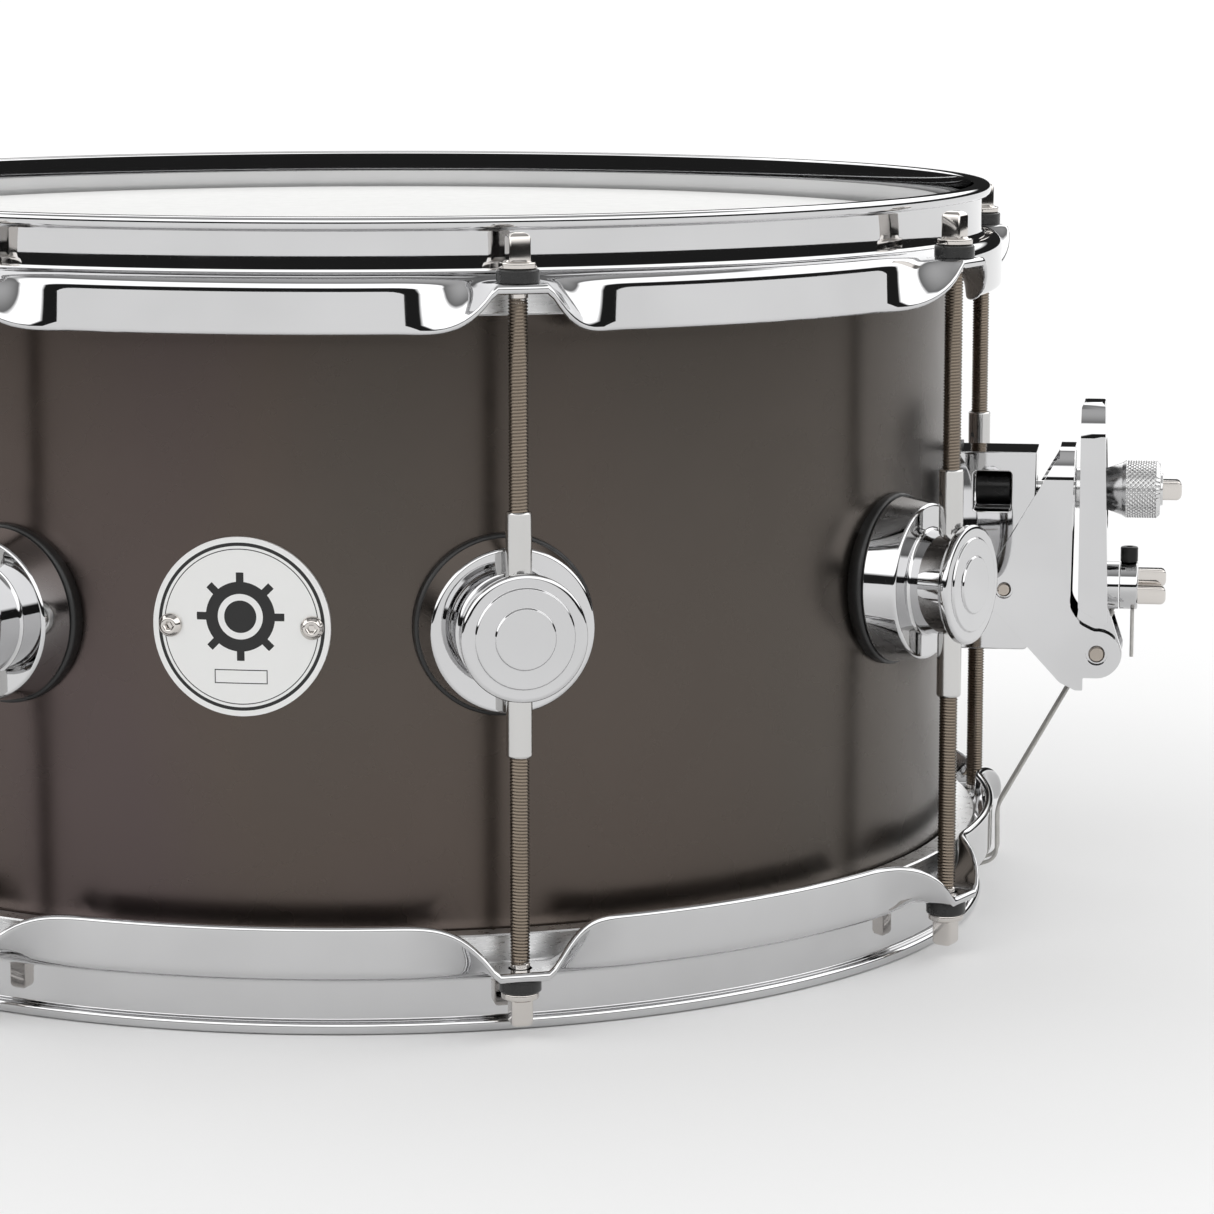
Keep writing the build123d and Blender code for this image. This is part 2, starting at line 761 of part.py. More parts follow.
with BuildPart() as strainer_frame:
    with BuildSketch(side_plane(cheek_half_gap)) as cheek:
        with BuildLine():
            Polyline(
                (frame_front - web_thick, frame_top),
                (frame_front, frame_top),
                (frame_front_foot, frame_step_up),
                cheek_step,
                (lever_pin_out - lobe_lead, lever_pin_up + lobe_r - lobe_tuck),
                (lever_pin_out, lever_pin_up),
                (lever_pin_out - lobe_tuck, lever_pin_up - lobe_r + lobe_tuck / 2),
                (cheek_toe[0], lever_pin_up - lobe_r + lobe_tuck / 2),
                cheek_toe,
                cheek_toe_back,
                cheek_heel,
                cheek_back,
                (frame_pin_out - cheek_nose, frame_pin_up),
                cheek_shoulder,
                close=True,
            )
        make_face()
        with Locations((lever_pin_out, lever_pin_up)):
            Circle(lobe_r)
        with Locations((frame_pin_out, frame_pin_up)):
            Circle(frame_pin_r + pin_play, mode=Mode.SUBTRACT)
        with Locations((lever_pin_out, lever_pin_up)):
            Circle(lever_pin_r + pin_play, mode=Mode.SUBTRACT)
        fillet(corner(cheek, frame_front, frame_top), plate_round)
        fillet(corner(cheek, frame_front - web_thick, frame_top), plate_round)
        fillet(corner(cheek, *cheek_heel), heel_round)
        fillet(corner(cheek, frame_front_foot, frame_step_up), step_round)
    extrude(amount=cheek_thick)
    with BuildSketch(side_plane(cheek_outer)):
        with Locations((frame_pin_out, frame_pin_up)):
            Circle(frame_pin_recess_r)
        with Locations((lever_pin_out, lever_pin_up)):
            Circle(lever_pin_recess_r)
    extrude(amount=-pin_recess, mode=Mode.SUBTRACT)
    mirror(about=Plane.XZ)
    with BuildSketch(side_plane(0)):
        Polygon(
            (frame_front - web_thick, web_foot),
            (frame_front - 2 * web_lean, web_foot),
            (frame_front - web_lean, frame_top - web_lean),
            (frame_front - web_thick, frame_top - web_lean),
            align=None,
        )
        Polygon(*foot_web, align=None)
    extrude(amount=cheek_half_gap, both=True)
    with BuildSketch(radial_plane(throw_angle, shell_r + frame_front + 1, adjuster_up)):
        Circle(stud_r + pin_play)
    extrude(amount=-web_thick - 3, mode=Mode.SUBTRACT)
    with BuildSketch(radial_plane(throw_angle, shell_r)):
        with Locations((0, frame_top - fitting_outline / 2)):
            RectangleRounded(2 * cheek_outer, fitting_outline, frame_round)
    extrude(amount=lever_pin_out + 2 * lobe_r, mode=Mode.INTERSECT)
save(strainer_frame.part, "strainer_frame")

with BuildPart() as frame_pin:
    with BuildSketch(side_plane(0)):
        with Locations((frame_pin_out, frame_pin_up)):
            Circle(frame_pin_r)
    extrude(amount=cheek_outer - pin_short, both=True)
    chamfer(frame_pin.edges().filter_by(GeomType.CIRCLE), pin_chamfer)
save(frame_pin.part, "frame_pin")

with BuildPart() as lever_pins:
    with BuildSketch(side_plane(tongue_half_gap - 2 * pin_short)):
        with Locations((lever_pin_out, lever_pin_up)):
            Circle(lever_pin_r)
    extrude(amount=cheek_outer - tongue_half_gap + pin_short)
    chamfer(lever_pins.edges().filter_by(GeomType.CIRCLE), pin_chamfer)
    mirror(about=Plane.XZ)
save(lever_pins.part, "lever_pins")

# ---------------------------------------------------------------- fine adjuster
shoulder = frame_front + knob_shoulder_gap
with BuildPart() as adjuster_knob:
    with BuildSketch(side_plane(0)) as turned:
        with BuildLine():
            Polyline(
                (nut_start + 1, adjuster_up),
                (nut_start + 1, adjuster_up + stud_r),
                (shoulder, adjuster_up + stud_r),
                (shoulder, adjuster_up + neck_r),
                (shoulder + neck_length, adjuster_up + neck_r),
                (knob_start, adjuster_up + knob_cone_r),
                (knob_start, adjuster_up + knob_r),
                (knob_end, adjuster_up + knob_r),
                (knob_end, adjuster_up + knob_boss_r),
                (knob_end + knob_boss, adjuster_up + knob_boss_r),
                (knob_end + knob_boss, adjuster_up),
                close=True,
            )
        make_face()
        chamfer(corner(turned, knob_end, adjuster_up + knob_r), knob_chamfer)
    revolve(axis=Axis((0, 0, mid_z + adjuster_up), (1, 0, 0)))
    with BuildSketch(radial_plane(throw_angle, shell_r + knob_end + knob_boss, adjuster_up)):
        Rectangle(key_side, key_side)
    extrude(amount=knob_key_end - knob_end - knob_boss)
    chamfer(adjuster_knob.faces().sort_by(Axis.X)[-1].edges(), edge_break)
save(adjuster_knob.part, "adjuster_knob")

# ---------------------------------------------------------------- lever
lever_back = frame_front + lever_gap
lever_face = lever_back + lever_thick
lever_face_foot = lever_face + lever_taper

with BuildPart() as lever:
    with BuildSketch(side_plane(0)) as lever_side:
        with BuildLine():
            Polyline(
                (lever_back, lever_foot_in),
                (lever_face_foot, lever_foot_out),
                (lever_face, lever_top),
                (lever_back, lever_top),
                close=True,
            )
        make_face()
        fillet(corner(lever_side, lever_face, lever_top), lever_edge_round)
        fillet(corner(lever_side, lever_back, lever_top), lever_edge_round)
    extrude(amount=cheek_outer, both=True)
    with BuildSketch(radial_plane(throw_angle, shell_r + lever_back - 1)):
        with Locations((0, lever_top - fitting_outline / 2)):
            RectangleRounded(2 * cheek_outer, fitting_outline, lever_round)
    extrude(amount=lever_thick + lever_taper + 2, mode=Mode.INTERSECT)
    with BuildSketch(radial_plane(throw_angle, shell_r + lever_back - 1)):
        with Locations((0, (opening_foot + opening_top) / 2)):
            RectangleRounded(2 * opening_half_width, opening_top - opening_foot, opening_round)
        with Locations((0, notch_top - notch_height / 2)):
            RectangleRounded(2 * notch_half_width, notch_height, notch_round)
    extrude(amount=lever_thick + lever_taper + 2, mode=Mode.SUBTRACT)
    with BuildSketch(side_plane(0)):
        Polygon(
            (lever_back - 1, lever_foot_out - 3),
            (lever_face_foot - lever_skin, lever_foot_out - 3),
            (lever_face_foot - lever_skin - edge_round, opening_foot - 3),
            (lever_back - 1, opening_foot - 3),
            align=None,
        )
    extrude(amount=cheek_half_gap, both=True, mode=Mode.SUBTRACT)
    with BuildSketch(side_plane(tongue_half_gap)) as tongue:
        with BuildLine():
            Polyline(
                (lever_pin_out - tongue_r, lever_pin_up),
                (lever_back + 1, tongue_top),
                (lever_face - edge_round, tongue_top),
                (lever_pin_out + tongue_r, lever_pin_up),
                close=True,
            )
        make_face()
        with Locations((lever_pin_out, lever_pin_up)):
            Circle(tongue_r)
            Circle(lever_pin_r + pin_play, mode=Mode.SUBTRACT)
    extrude(amount=tongue_thick)
    with BuildSketch(side_plane(-tongue_half_gap)):
        add(tongue.sketch_local)
    extrude(amount=-tongue_thick)
    with BuildSketch(radial_plane(throw_angle, shell_r + lever_face - 1, clamp_up)):
        Circle(clamp_r)
    extrude(amount=1 + lever_taper + clamp_boss)
    with BuildSketch(radial_plane(throw_angle, shell_r + lever_face - 1, clamp_up)):
        with Locations(
            (-clamp_screw_across, -clamp_screw_rise),
            (clamp_screw_across, clamp_screw_rise),
        ):
            Circle(clamp_screw_r + pin_play)
    extrude(amount=1 + lever_taper + clamp_boss, mode=Mode.SUBTRACT)
save(lever.part, "lever")

clamp_cap_back = lever_face + lever_taper + clamp_boss + clamp_gap
clamp_cap_front = clamp_cap_back + clamp_cap
clamp_screw_places = [
    (-clamp_screw_across, clamp_up - clamp_screw_rise),
    (clamp_screw_across, clamp_up + clamp_screw_rise),
]
cap_top = mid_z + clamp_up + clamp_r
set_screw_seat = cap_top + set_screw_gap
with BuildPart() as clamp_cap_piece:
    with BuildSketch(radial_plane(throw_angle, shell_r + clamp_cap_back)):
        with Locations((0, clamp_up)):
            Circle(clamp_r)
        with Locations(*clamp_screw_places):
            Circle(clamp_screw_r + pin_play, mode=Mode.SUBTRACT)
    extrude(amount=clamp_cap)
    fillet(clamp_cap_piece.edges().filter_by(GeomType.CIRCLE).sort_by(SortBy.RADIUS)[-1], edge_round)
    with BuildSketch(Plane.XY.offset(cap_top - set_screw_bite - pin_chamfer)):
        with Locations((shell_r + clamp_cap_back + clamp_cap / 2, 0)):
            Circle(set_screw_r / 2 + pin_play)
    extrude(amount=3, mode=Mode.SUBTRACT)
save(clamp_cap_piece.part, "clamp_cap")

with BuildPart() as clamp_set_screw:
    with BuildSketch(Plane.XY.offset(cap_top - set_screw_bite)):
        with Locations((shell_r + clamp_cap_back + clamp_cap / 2, 0)):
            Circle(set_screw_r / 2)
    extrude(amount=set_screw_bite + edge_break)
    with BuildSketch(Plane.XY.offset(set_screw_seat)):
        with Locations((shell_r + clamp_cap_back + clamp_cap / 2, 0)):
            Circle(set_screw_r)
    extrude(amount=set_screw_height)
    with BuildSketch(Plane.XY.offset(set_screw_seat + set_screw_height)):
        with Locations((shell_r + clamp_cap_back + clamp_cap / 2, 0)):
            RegularPolygon(set_socket_r, 6)
    extrude(amount=-set_screw_height / 2, mode=Mode.SUBTRACT)
save(clamp_set_screw.part, "clamp_set_screw")


def key_screw(angle, across, up, foot_out, seat_out):
    """Small screw with a square drum-key head that points away from the drum."""
    with BuildPart() as piece:
        with BuildSketch(radial_plane(angle, shell_r + foot_out)):
            with Locations((across, up)):
                Circle(clamp_screw_r)
        extrude(amount=seat_out - foot_out + pin_play)
        with BuildSketch(radial_plane(angle, shell_r + seat_out + pin_play)):
            with Locations((across, up)):
                Rectangle(clamp_key_side, clamp_key_side)
        extrude(amount=clamp_key)
        outward = Axis((0, 0, 0), radial_plane(angle, 0).z_dir)
        chamfer(piece.faces().sort_by(outward)[-1].edges(), clamp_key_chamfer)
    return piece


for number, (across, up) in enumerate(clamp_screw_places, start=1):
    clamp_screw = key_screw(throw_angle, across, up, lever_face, clamp_cap_front)
    save(clamp_screw.part, f"clamp_screw_{number}")

# ---------------------------------------------------------------- butt plate
with BuildPart() as butt_gasket:
    with BuildSketch(radial_plane(butt_angle, shell_inner_r - gasket_thick)):
        RectangleRounded(2 * butt_half_width + 2, 2 * butt_half_height + 2, butt_round)
        with Locations((0, butt_screw_mount), (0, -butt_screw_mount)):
            Circle(screw_r + screw_play, mode=Mode.SUBTRACT)
    extrude(amount=gasket_front_r - shell_inner_r + gasket_thick)
    with BuildSketch(Plane.XY.offset(mid_z - butt_half_height - 2)):
        Circle(shell_r + badge_gap)
    extrude(amount=2 * butt_half_height + 4, mode=Mode.SUBTRACT)
save(butt_gasket.part, "butt_gasket")

with BuildPart() as butt_block:
    with BuildSketch(radial_plane(butt_angle, gasket_front_r)):
        RectangleRounded(2 * butt_half_width, 2 * butt_half_height, butt_round)
    extrude(amount=butt_out - gasket_thick)
    fillet(butt_block.faces().sort_by(Axis.X)[0].edges(), plate_round)
    with BuildSketch(radial_plane(butt_angle, gasket_front_r)):
        with Locations((0, butt_screw_mount), (0, -butt_screw_mount)):
            Circle(screw_r + screw_play)
    extrude(amount=screw_bite, mode=Mode.SUBTRACT)
    with BuildSketch(radial_plane(butt_angle, shell_r + butt_out)):
        with Locations((-butt_screw_across, butt_clamp_up), (butt_screw_across, butt_clamp_up)):
            Circle(clamp_screw_r + pin_play)
    extrude(amount=-screw_bite / 2, mode=Mode.SUBTRACT)
save(butt_block.part, "butt_block")

butt_clamp_back = butt_out + 2 * cord_r
butt_clamp_front = butt_clamp_back + butt_clamp_thick
with BuildPart() as butt_clamp:
    with BuildSketch(radial_plane(butt_angle, shell_r + butt_clamp_back)):
        with Locations((0, butt_clamp_up)):
            RectangleRounded(2 * butt_clamp_half, butt_clamp_height, plate_round)
        with Locations((-butt_screw_across, butt_clamp_up), (butt_screw_across, butt_clamp_up)):
            Circle(clamp_screw_r + pin_play, mode=Mode.SUBTRACT)
    extrude(amount=butt_clamp_thick)
    chamfer(butt_clamp.faces().sort_by(Axis.X)[0].outer_wire().edges(), clamp_key_chamfer)
save(butt_clamp.part, "butt_clamp")

for number, across in enumerate((-butt_screw_across, butt_screw_across), start=1):
    foot = butt_out - screw_bite / 2 + screw_short
    butt_screw = key_screw(butt_angle, across, butt_clamp_up, foot, butt_clamp_front)
    save(butt_screw.part, f"butt_screw_{number}")

# ---------------------------------------------------------------- snare wires and cords
wire_z = low_edge - head_seat_gap - snare_film - wire_gap - wire_r
plate_top = wire_z - wire_r - wire_gap
plate_mid = plate_top - plate_thick / 2
plate_end = plate_centre + plate_half_length

with BuildPart() as snare_wires:
    with BuildSketch(Plane.YZ.offset(-plate_centre)):
        with GridLocations(wire_pitch, 1, wire_count, 1):
            with Locations((0, wire_z)):
                Circle(wire_r)
    extrude(amount=2 * plate_centre)
save(snare_wires.part, "snare_wires")

with BuildPart() as snare_plates:
    with BuildSketch(Plane.XY.offset(plate_top - plate_thick)):
        with Locations((-plate_centre, 0), (plate_centre, 0)):
            RectangleRounded(2 * plate_half_length, 2 * plate_half_width, 2)
        for side in (-1, 1):
            with Locations((side * (plate_end - plate_hole_inset), -cord_half_spacing)):
                Circle(2 * cord_r, mode=Mode.SUBTRACT)
            with Locations((side * (plate_end - plate_hole_inset), cord_half_spacing)):
                Circle(2 * cord_r, mode=Mode.SUBTRACT)
    extrude(amount=plate_thick)
save(snare_plates.part, "snare_plates")

# Both cords share the route through the gate and over the shelf, as (radius, height) points.
gate_route = [
    (plate_end + cord_plate_gap, plate_mid),
    (hoop_wall_r - hoop_steel / 2, gate_depth + cord_gate_rise),
    (skirt_r + 2 * cord_clearance, shelf_depth - cord_shelf_drop),
    (skirt_r + cord_r + cord_clearance, skirt_depth - cord_skirt_drop),
]
clamp_entry = (shell_r + lever_face + lever_taper + clamp_boss / 2, mid_z + clamp_up - clamp_r - 0.1)
butt_entry = (shell_r + butt_out + cord_r, mid_z + butt_clamp_up - butt_clamp_height / 2)
route_rounds = [8.0, 4.0, 10.0]


def cord(side, end):
    """Two strands from a snare plate through the hoop's gate and up to a clamp."""
    with BuildPart() as piece:
        for across in (-cord_half_spacing, cord_half_spacing):
            plane = Plane(origin=(0, across, 0), x_dir=(side, 0, 0), z_dir=(0, -side, 0))
            with BuildLine(plane) as route:
                FilletPolyline(*gate_route, end, radius=route_rounds)
            with BuildSketch(Plane(origin=route.line @ 0, z_dir=route.line % 0)):
                Circle(cord_r)
            sweep(path=route.line)
    return piece


throw_cord = cord(1, clamp_entry)
save(throw_cord.part, "throw_cord")
butt_cord = cord(-1, butt_entry)
save(butt_cord.part, "butt_cord")

with BuildPart() as cord_tails:
    with BuildSketch(Plane.XY.offset(mid_z + clamp_up - clamp_r)):
        with Locations((shell_r + clamp_cap_front - tail_inset, 0)):
            with Locations((0, -cord_half_spacing / 2), (0, cord_half_spacing / 2)):
                Circle(cord_r)
    extrude(amount=-tail_length)
save(cord_tails.part, "cord_tails")
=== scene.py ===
"""Snare drum: finishes, fine shapes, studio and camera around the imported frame. Sizes in millimetres."""

import json
from math import atan2, cos, hypot, pi, radians, sin, tan

import bpy
from mathutils import Matrix, Vector

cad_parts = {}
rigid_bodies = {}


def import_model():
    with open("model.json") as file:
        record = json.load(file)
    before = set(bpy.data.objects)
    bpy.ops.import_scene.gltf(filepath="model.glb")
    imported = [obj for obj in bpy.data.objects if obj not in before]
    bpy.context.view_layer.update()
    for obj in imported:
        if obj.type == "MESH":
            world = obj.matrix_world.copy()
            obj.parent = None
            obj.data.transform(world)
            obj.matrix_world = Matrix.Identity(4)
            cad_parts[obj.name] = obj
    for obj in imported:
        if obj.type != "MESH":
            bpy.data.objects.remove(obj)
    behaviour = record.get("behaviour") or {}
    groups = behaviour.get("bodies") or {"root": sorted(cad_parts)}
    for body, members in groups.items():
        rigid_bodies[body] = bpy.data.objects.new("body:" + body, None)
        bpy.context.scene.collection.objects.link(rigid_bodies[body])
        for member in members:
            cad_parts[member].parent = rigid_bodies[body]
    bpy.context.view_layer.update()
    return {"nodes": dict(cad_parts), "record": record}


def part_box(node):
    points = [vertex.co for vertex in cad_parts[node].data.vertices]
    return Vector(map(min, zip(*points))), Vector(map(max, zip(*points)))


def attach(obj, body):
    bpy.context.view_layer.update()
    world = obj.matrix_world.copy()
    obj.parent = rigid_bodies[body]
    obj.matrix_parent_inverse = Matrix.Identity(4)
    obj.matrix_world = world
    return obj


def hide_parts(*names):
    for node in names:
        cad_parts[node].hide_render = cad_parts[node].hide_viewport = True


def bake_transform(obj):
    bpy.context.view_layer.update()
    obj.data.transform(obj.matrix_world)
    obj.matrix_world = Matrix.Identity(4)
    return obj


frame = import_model()

MM = 0.001
TURN = 2 * pi
LUGS = 8
LUG_START = radians(22.5)

# Sizes shared by several pieces, from the drum's axis outwards and from the snare-side rim upwards
shell_r = 163.5
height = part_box("batter_hoop")[1].z / MM
mid_z = height / 2
hoop_wall_r = 169.8
hoop_steel = 2.4
rod_circle_r = 180.4
shelf_depth = 13.85
skirt_r = 175.5
skirt_depth = 27.85
skirt_bend = 3.0
ear_drop = 1.4
washer_thick = 3.3
gasket_front = 165.5
tube_half = 29.9
adjuster_up = 16.7
rod_key = 5.3
screw_key = 4.7
fine_steps = 720


# ---------------------------------------------------------------- modelling helpers
def edit_mode():
    bpy.ops.object.mode_set(mode="EDIT")
    bpy.ops.mesh.select_all(action="SELECT")


def object_mode():
    bpy.ops.object.mode_set(mode="OBJECT")


def only(piece):
    """Make one piece the selected and active one."""
    bpy.ops.object.select_all(action="DESELECT")
    piece.select_set(True)
    bpy.context.view_layer.objects.active = piece


def modify(piece, kind, **settings):
    """Add one modifier and apply it."""
    only(piece)
    bpy.ops.object.modifier_add(type=kind)
    modifier = piece.modifiers[-1]
    for name, value in settings.items():
        setattr(modifier, name, value)
    bpy.ops.object.modifier_apply(modifier=modifier.name)


def smooth(piece, angle=35):
    only(piece)
    bpy.ops.object.shade_smooth_by_angle(angle=radians(angle))


def soften(piece, width, segments=3, angle=35):
    """Round a piece's sharp edges, as casting and polishing leave them."""
    modify(piece, "BEVEL", width=width * MM, segments=segments, limit_method="ANGLE",
           angle_limit=radians(angle))
    smooth(piece, angle)
    modify(piece, "WEIGHTED_NORMAL", weight=100, keep_sharp=True)


def cut(piece, *tools, operation="DIFFERENCE"):
    """Cut tools out of a piece and remove them."""
    for tool in tools:
        modify(piece, "BOOLEAN", operation=operation, object=tool, solver="EXACT")
        bpy.data.objects.remove(tool)


def join(name, *pieces):
    bpy.ops.object.select_all(action="DESELECT")
    for piece in pieces:
        piece.select_set(True)
    bpy.context.view_layer.objects.active = pieces[0]
    bpy.ops.object.join()
    pieces[0].name = name
    return pieces[0]


def rounded(points, steps=5):
    """An outline's points, where a corner written (x, y, radius) becomes an arc."""
    line = []
    for index, point in enumerate(points):
        here = Vector(point[:2])
        if len(point) == 2:
            line.append(here)
            continue
        before = (Vector(points[index - 1][:2]) - here).normalized()
        after = (Vector(points[(index + 1) % len(points)][:2]) - here).normalized()
        half = before.angle(after) / 2
        centre = here + (before + after).normalized() * point[2] / sin(half)
        first = here + before * point[2] / tan(half) - centre
        last = here + after * point[2] / tan(half) - centre
        for k in range(steps + 1):
            line.append(centre + first.lerp(last, k / steps).normalized() * point[2])
    return line


class Section:
    """A flat plane in the drum's frame: x runs across, y along, and normal away from it."""

    def __init__(self, origin, across, along):
        self.origin = Vector(origin)
        self.across = Vector(across)
        self.along = Vector(along)
        self.normal = self.across.cross(self.along)

    def place(self, x, y, lift=0.0):
        return (self.origin + self.across * x + self.along * y + self.normal * lift) * MM


upright = Section((0, 0, 0), (1, 0, 0), (0, 0, 1))
lug_axis = Section((0, 0, mid_z), (0, 0, 1), (1, 0, 0))
throw_side = Section((shell_r, 0, mid_z), (1, 0, 0), (0, 0, 1))
throw_front = Section((shell_r, 0, mid_z), (0, 1, 0), (0, 0, 1))
knob_axis = Section((shell_r, 0, mid_z + adjuster_up), (0, 0, 1), (1, 0, 0))


def outline_piece(name, section, points, filled):
    """A loop of vertices laid on a section, ready to spin or extrude."""
    kind = "NGON" if filled else "NOTHING"
    bpy.ops.mesh.primitive_circle_add(vertices=len(points), fill_type=kind)
    piece = bpy.context.object
    piece.name = name
    for vertex, point in zip(piece.data.vertices, points):
        vertex.co = section.place(*point)
    return piece


def turned(name, section, points, steps=96, axis_at=(0, 0)):
    """A solid turned about the section's along direction, through axis_at."""
    piece = outline_piece(name, section, points, filled=False)
    edit_mode()
    bpy.ops.mesh.spin(steps=steps, angle=TURN, center=section.place(*axis_at), axis=section.along)
    bpy.ops.mesh.select_all(action="SELECT")
    bpy.ops.mesh.remove_doubles(threshold=0.002 * MM)
    bpy.ops.mesh.normals_make_consistent(inside=False)
    object_mode()
    smooth(piece)
    modify(piece, "WEIGHTED_NORMAL", weight=100, keep_sharp=True)
    return piece


def plate(name, section, points, low, high):
    """A flat outline made thick, between two distances along the section's normal."""
    piece = outline_piece(name, section, points, filled=True)
    for vertex in piece.data.vertices:
        vertex.co += section.normal * low * MM
    edit_mode()
    bpy.ops.mesh.extrude_region_move(
        TRANSFORM_OT_translate={"value": section.normal * (high - low) * MM}
    )
    bpy.ops.mesh.select_all(action="SELECT")
    bpy.ops.mesh.normals_make_consistent(inside=False)
    object_mode()
    return piece


def disc(section, x, y, radius, low, high, vertices=48):
    """A plain cylinder along the section's normal, used as a tool or a start."""
    points = [(x + radius * cos(TURN * k / vertices), y + radius * sin(TURN * k / vertices))
              for k in range(vertices)]
    return plate("disc", section, points, low, high)


def column(radius):
    """A tall cylinder on the drum's axis, which gives a fitting the shell's curve."""
    return disc(Section((0, 0, mid_z), (1, 0, 0), (0, 1, 0)), 0, 0, radius, -40, 40, vertices=fine_steps)


def box_outline(x, y, width, tall, radius):
    """A rounded rectangle's outline about its middle."""
    half, up = width / 2, tall / 2
    return rounded([(x - half, y - up, radius), (x + half, y - up, radius),
                    (x + half, y + up, radius), (x - half, y + up, radius)])


def pick(piece, wanted):
    """Open a piece for editing with only the wanted vertices selected."""
    only(piece)
    edit_mode()
    bpy.ops.mesh.select_all(action="DESELECT")
    object_mode()
    for vertex in piece.data.vertices:
        vertex.select = wanted(vertex)
    bpy.ops.object.mode_set(mode="EDIT")


def open_line(name, section, points):
    """A row of joined vertices with two free ends."""
    piece = outline_piece(name, section, points, filled=False)
    ends = (0, len(points) - 1)
    pick(piece, lambda vertex: vertex.index in ends)
    bpy.ops.mesh.delete(type="EDGE")
    object_mode()
    return piece


def key_head(section, x, y, side, low, high):
    """Square head for a drum key, from low to high along the section's normal, with a crowned end."""
    crown = ((0.5, 0.93), (0.4, 0.83), (0.25, 0.74), (0.15, 0.6))
    shoulder = high - sum(rise for rise, _ in crown)
    piece = plate("key_head", section, box_outline(x, y, side, side, 0.5), low, shoulder)
    end = section.place(x, y, shoulder)
    pick(piece, lambda vertex: (vertex.co - end).dot(section.normal) > -0.01 * MM)
    for rise, narrow in crown:
        bpy.ops.mesh.extrude_region_move(TRANSFORM_OT_translate={"value": section.normal * rise * MM})
        bpy.ops.transform.resize(value=(narrow, narrow, narrow), center_override=section.place(x, y, high))
        bpy.ops.mesh.select_more()
        bpy.ops.mesh.select_less()
    object_mode()
    smooth(piece, 40)
    return piece


def repeat_at_lugs(piece):
    """Turn a piece modelled at +X to the first lug, and copy it round the drum."""
    piece.data.transform(Matrix.Rotation(LUG_START, 4, "Z"))
    only(piece)
    edit_mode()
    bpy.ops.mesh.spin(steps=LUGS - 1, dupli=True, angle=TURN * (LUGS - 1) / LUGS,
                      center=(0, 0, 0), axis=(0, 0, 1))
    object_mode()
    return piece


def flipped(piece, name):
    """The same piece on the drum's snare side."""
    only(piece)
    bpy.ops.object.duplicate()
    twin = bpy.context.object
    twin.name = name
    for vertex in twin.data.vertices:
        vertex.co.z = height * MM - vertex.co.z
    edit_mode()
    bpy.ops.mesh.flip_normals()
    object_mode()
    return twin


def dress(piece, material):
    piece.data.materials.clear()
    piece.data.materials.append(material)


def finish(piece, body, slot, material, *nodes):
    """Give a finished piece its material when one is passed, put it on its body and hide the nodes that it
    stands for.
    """
    if material:
        dress(piece, material)
    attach(piece, body)
    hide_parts(*nodes)


# ---------------------------------------------------------------- materials
class Finish:
    """A material whose colour, roughness and relief vary over the piece in its own coordinates."""

    def __init__(self, name, colour, metallic, roughness):
        self.material = bpy.data.materials.new(name)
        self.material.use_nodes = True
        self.tree = self.material.node_tree
        self.shader = self.tree.nodes["Principled BSDF"]
        self.shader.inputs["Base Color"].default_value = (*colour, 1)
        self.shader.inputs["Metallic"].default_value = metallic
        self.shader.inputs["Roughness"].default_value = roughness
        self.coordinates = self.tree.nodes.new("ShaderNodeTexCoord").outputs["Object"]

    def noise(self, per_metre, stretch=(1, 1, 1), detail=3.0):
        """Noise with about this many grains to the metre."""
        mapping = self.tree.nodes.new("ShaderNodeMapping")
        mapping.inputs["Scale"].default_value = stretch
        texture = self.tree.nodes.new("ShaderNodeTexNoise")
        texture.inputs["Scale"].default_value = per_metre
        texture.inputs["Detail"].default_value = detail
        self.tree.links.new(self.coordinates, mapping.inputs["Vector"])
        self.tree.links.new(mapping.outputs["Vector"], texture.inputs["Vector"])
        return texture.outputs[0]

    def spread(self, source, low, high):
        """Map a noise's middle range to two values."""
        span = self.tree.nodes.new("ShaderNodeMapRange")
        span.inputs["From Min"].default_value = 0.3
        span.inputs["From Max"].default_value = 0.7
        span.inputs["To Min"].default_value = low
        span.inputs["To Max"].default_value = high
        self.tree.links.new(source, span.inputs["Value"])
        return span.outputs[0]

    def tint(self, source, *colours):
        """Colours along a noise's middle range."""
        ramp = self.tree.nodes.new("ShaderNodeValToRGB")
        while len(ramp.color_ramp.elements) < len(colours):
            ramp.color_ramp.elements.new(0.5)
        for index, (element, colour) in enumerate(zip(ramp.color_ramp.elements, colours)):
            element.position = 0.35 + 0.3 * index / (len(colours) - 1)
            element.color = (*colour, 1)
        self.tree.links.new(source, ramp.inputs[0])
        self.tree.links.new(ramp.outputs[0], self.shader.inputs["Base Color"])
        return self

    def rough(self, source, low, high):
        self.tree.links.new(self.spread(source, low, high), self.shader.inputs["Roughness"])
        return self

    def relief(self, source, height_mm, strength=1.0):
        bump = self.tree.nodes.new("ShaderNodeBump")
        bump.inputs["Strength"].default_value = strength
        bump.inputs["Distance"].default_value = height_mm * MM
        self.tree.links.new(source, bump.inputs["Height"])
        self.tree.links.new(bump.outputs[0], self.shader.inputs["Normal"])
        return self


def shades(colour, *shares):
    return [tuple(channel * share for channel in colour) for share in shares]


def polished(name, colour, low, high, stretch=(1, 1, 1)):
    """Plated metal: a faint cloudiness in its shine and its tone."""
    made = Finish(name, colour, 1.0, low)
    made.rough(made.noise(90, stretch), low, high)
    made.tint(made.noise(25), *shades(colour, 0.96, 1.0, 1.03))
    return made.material


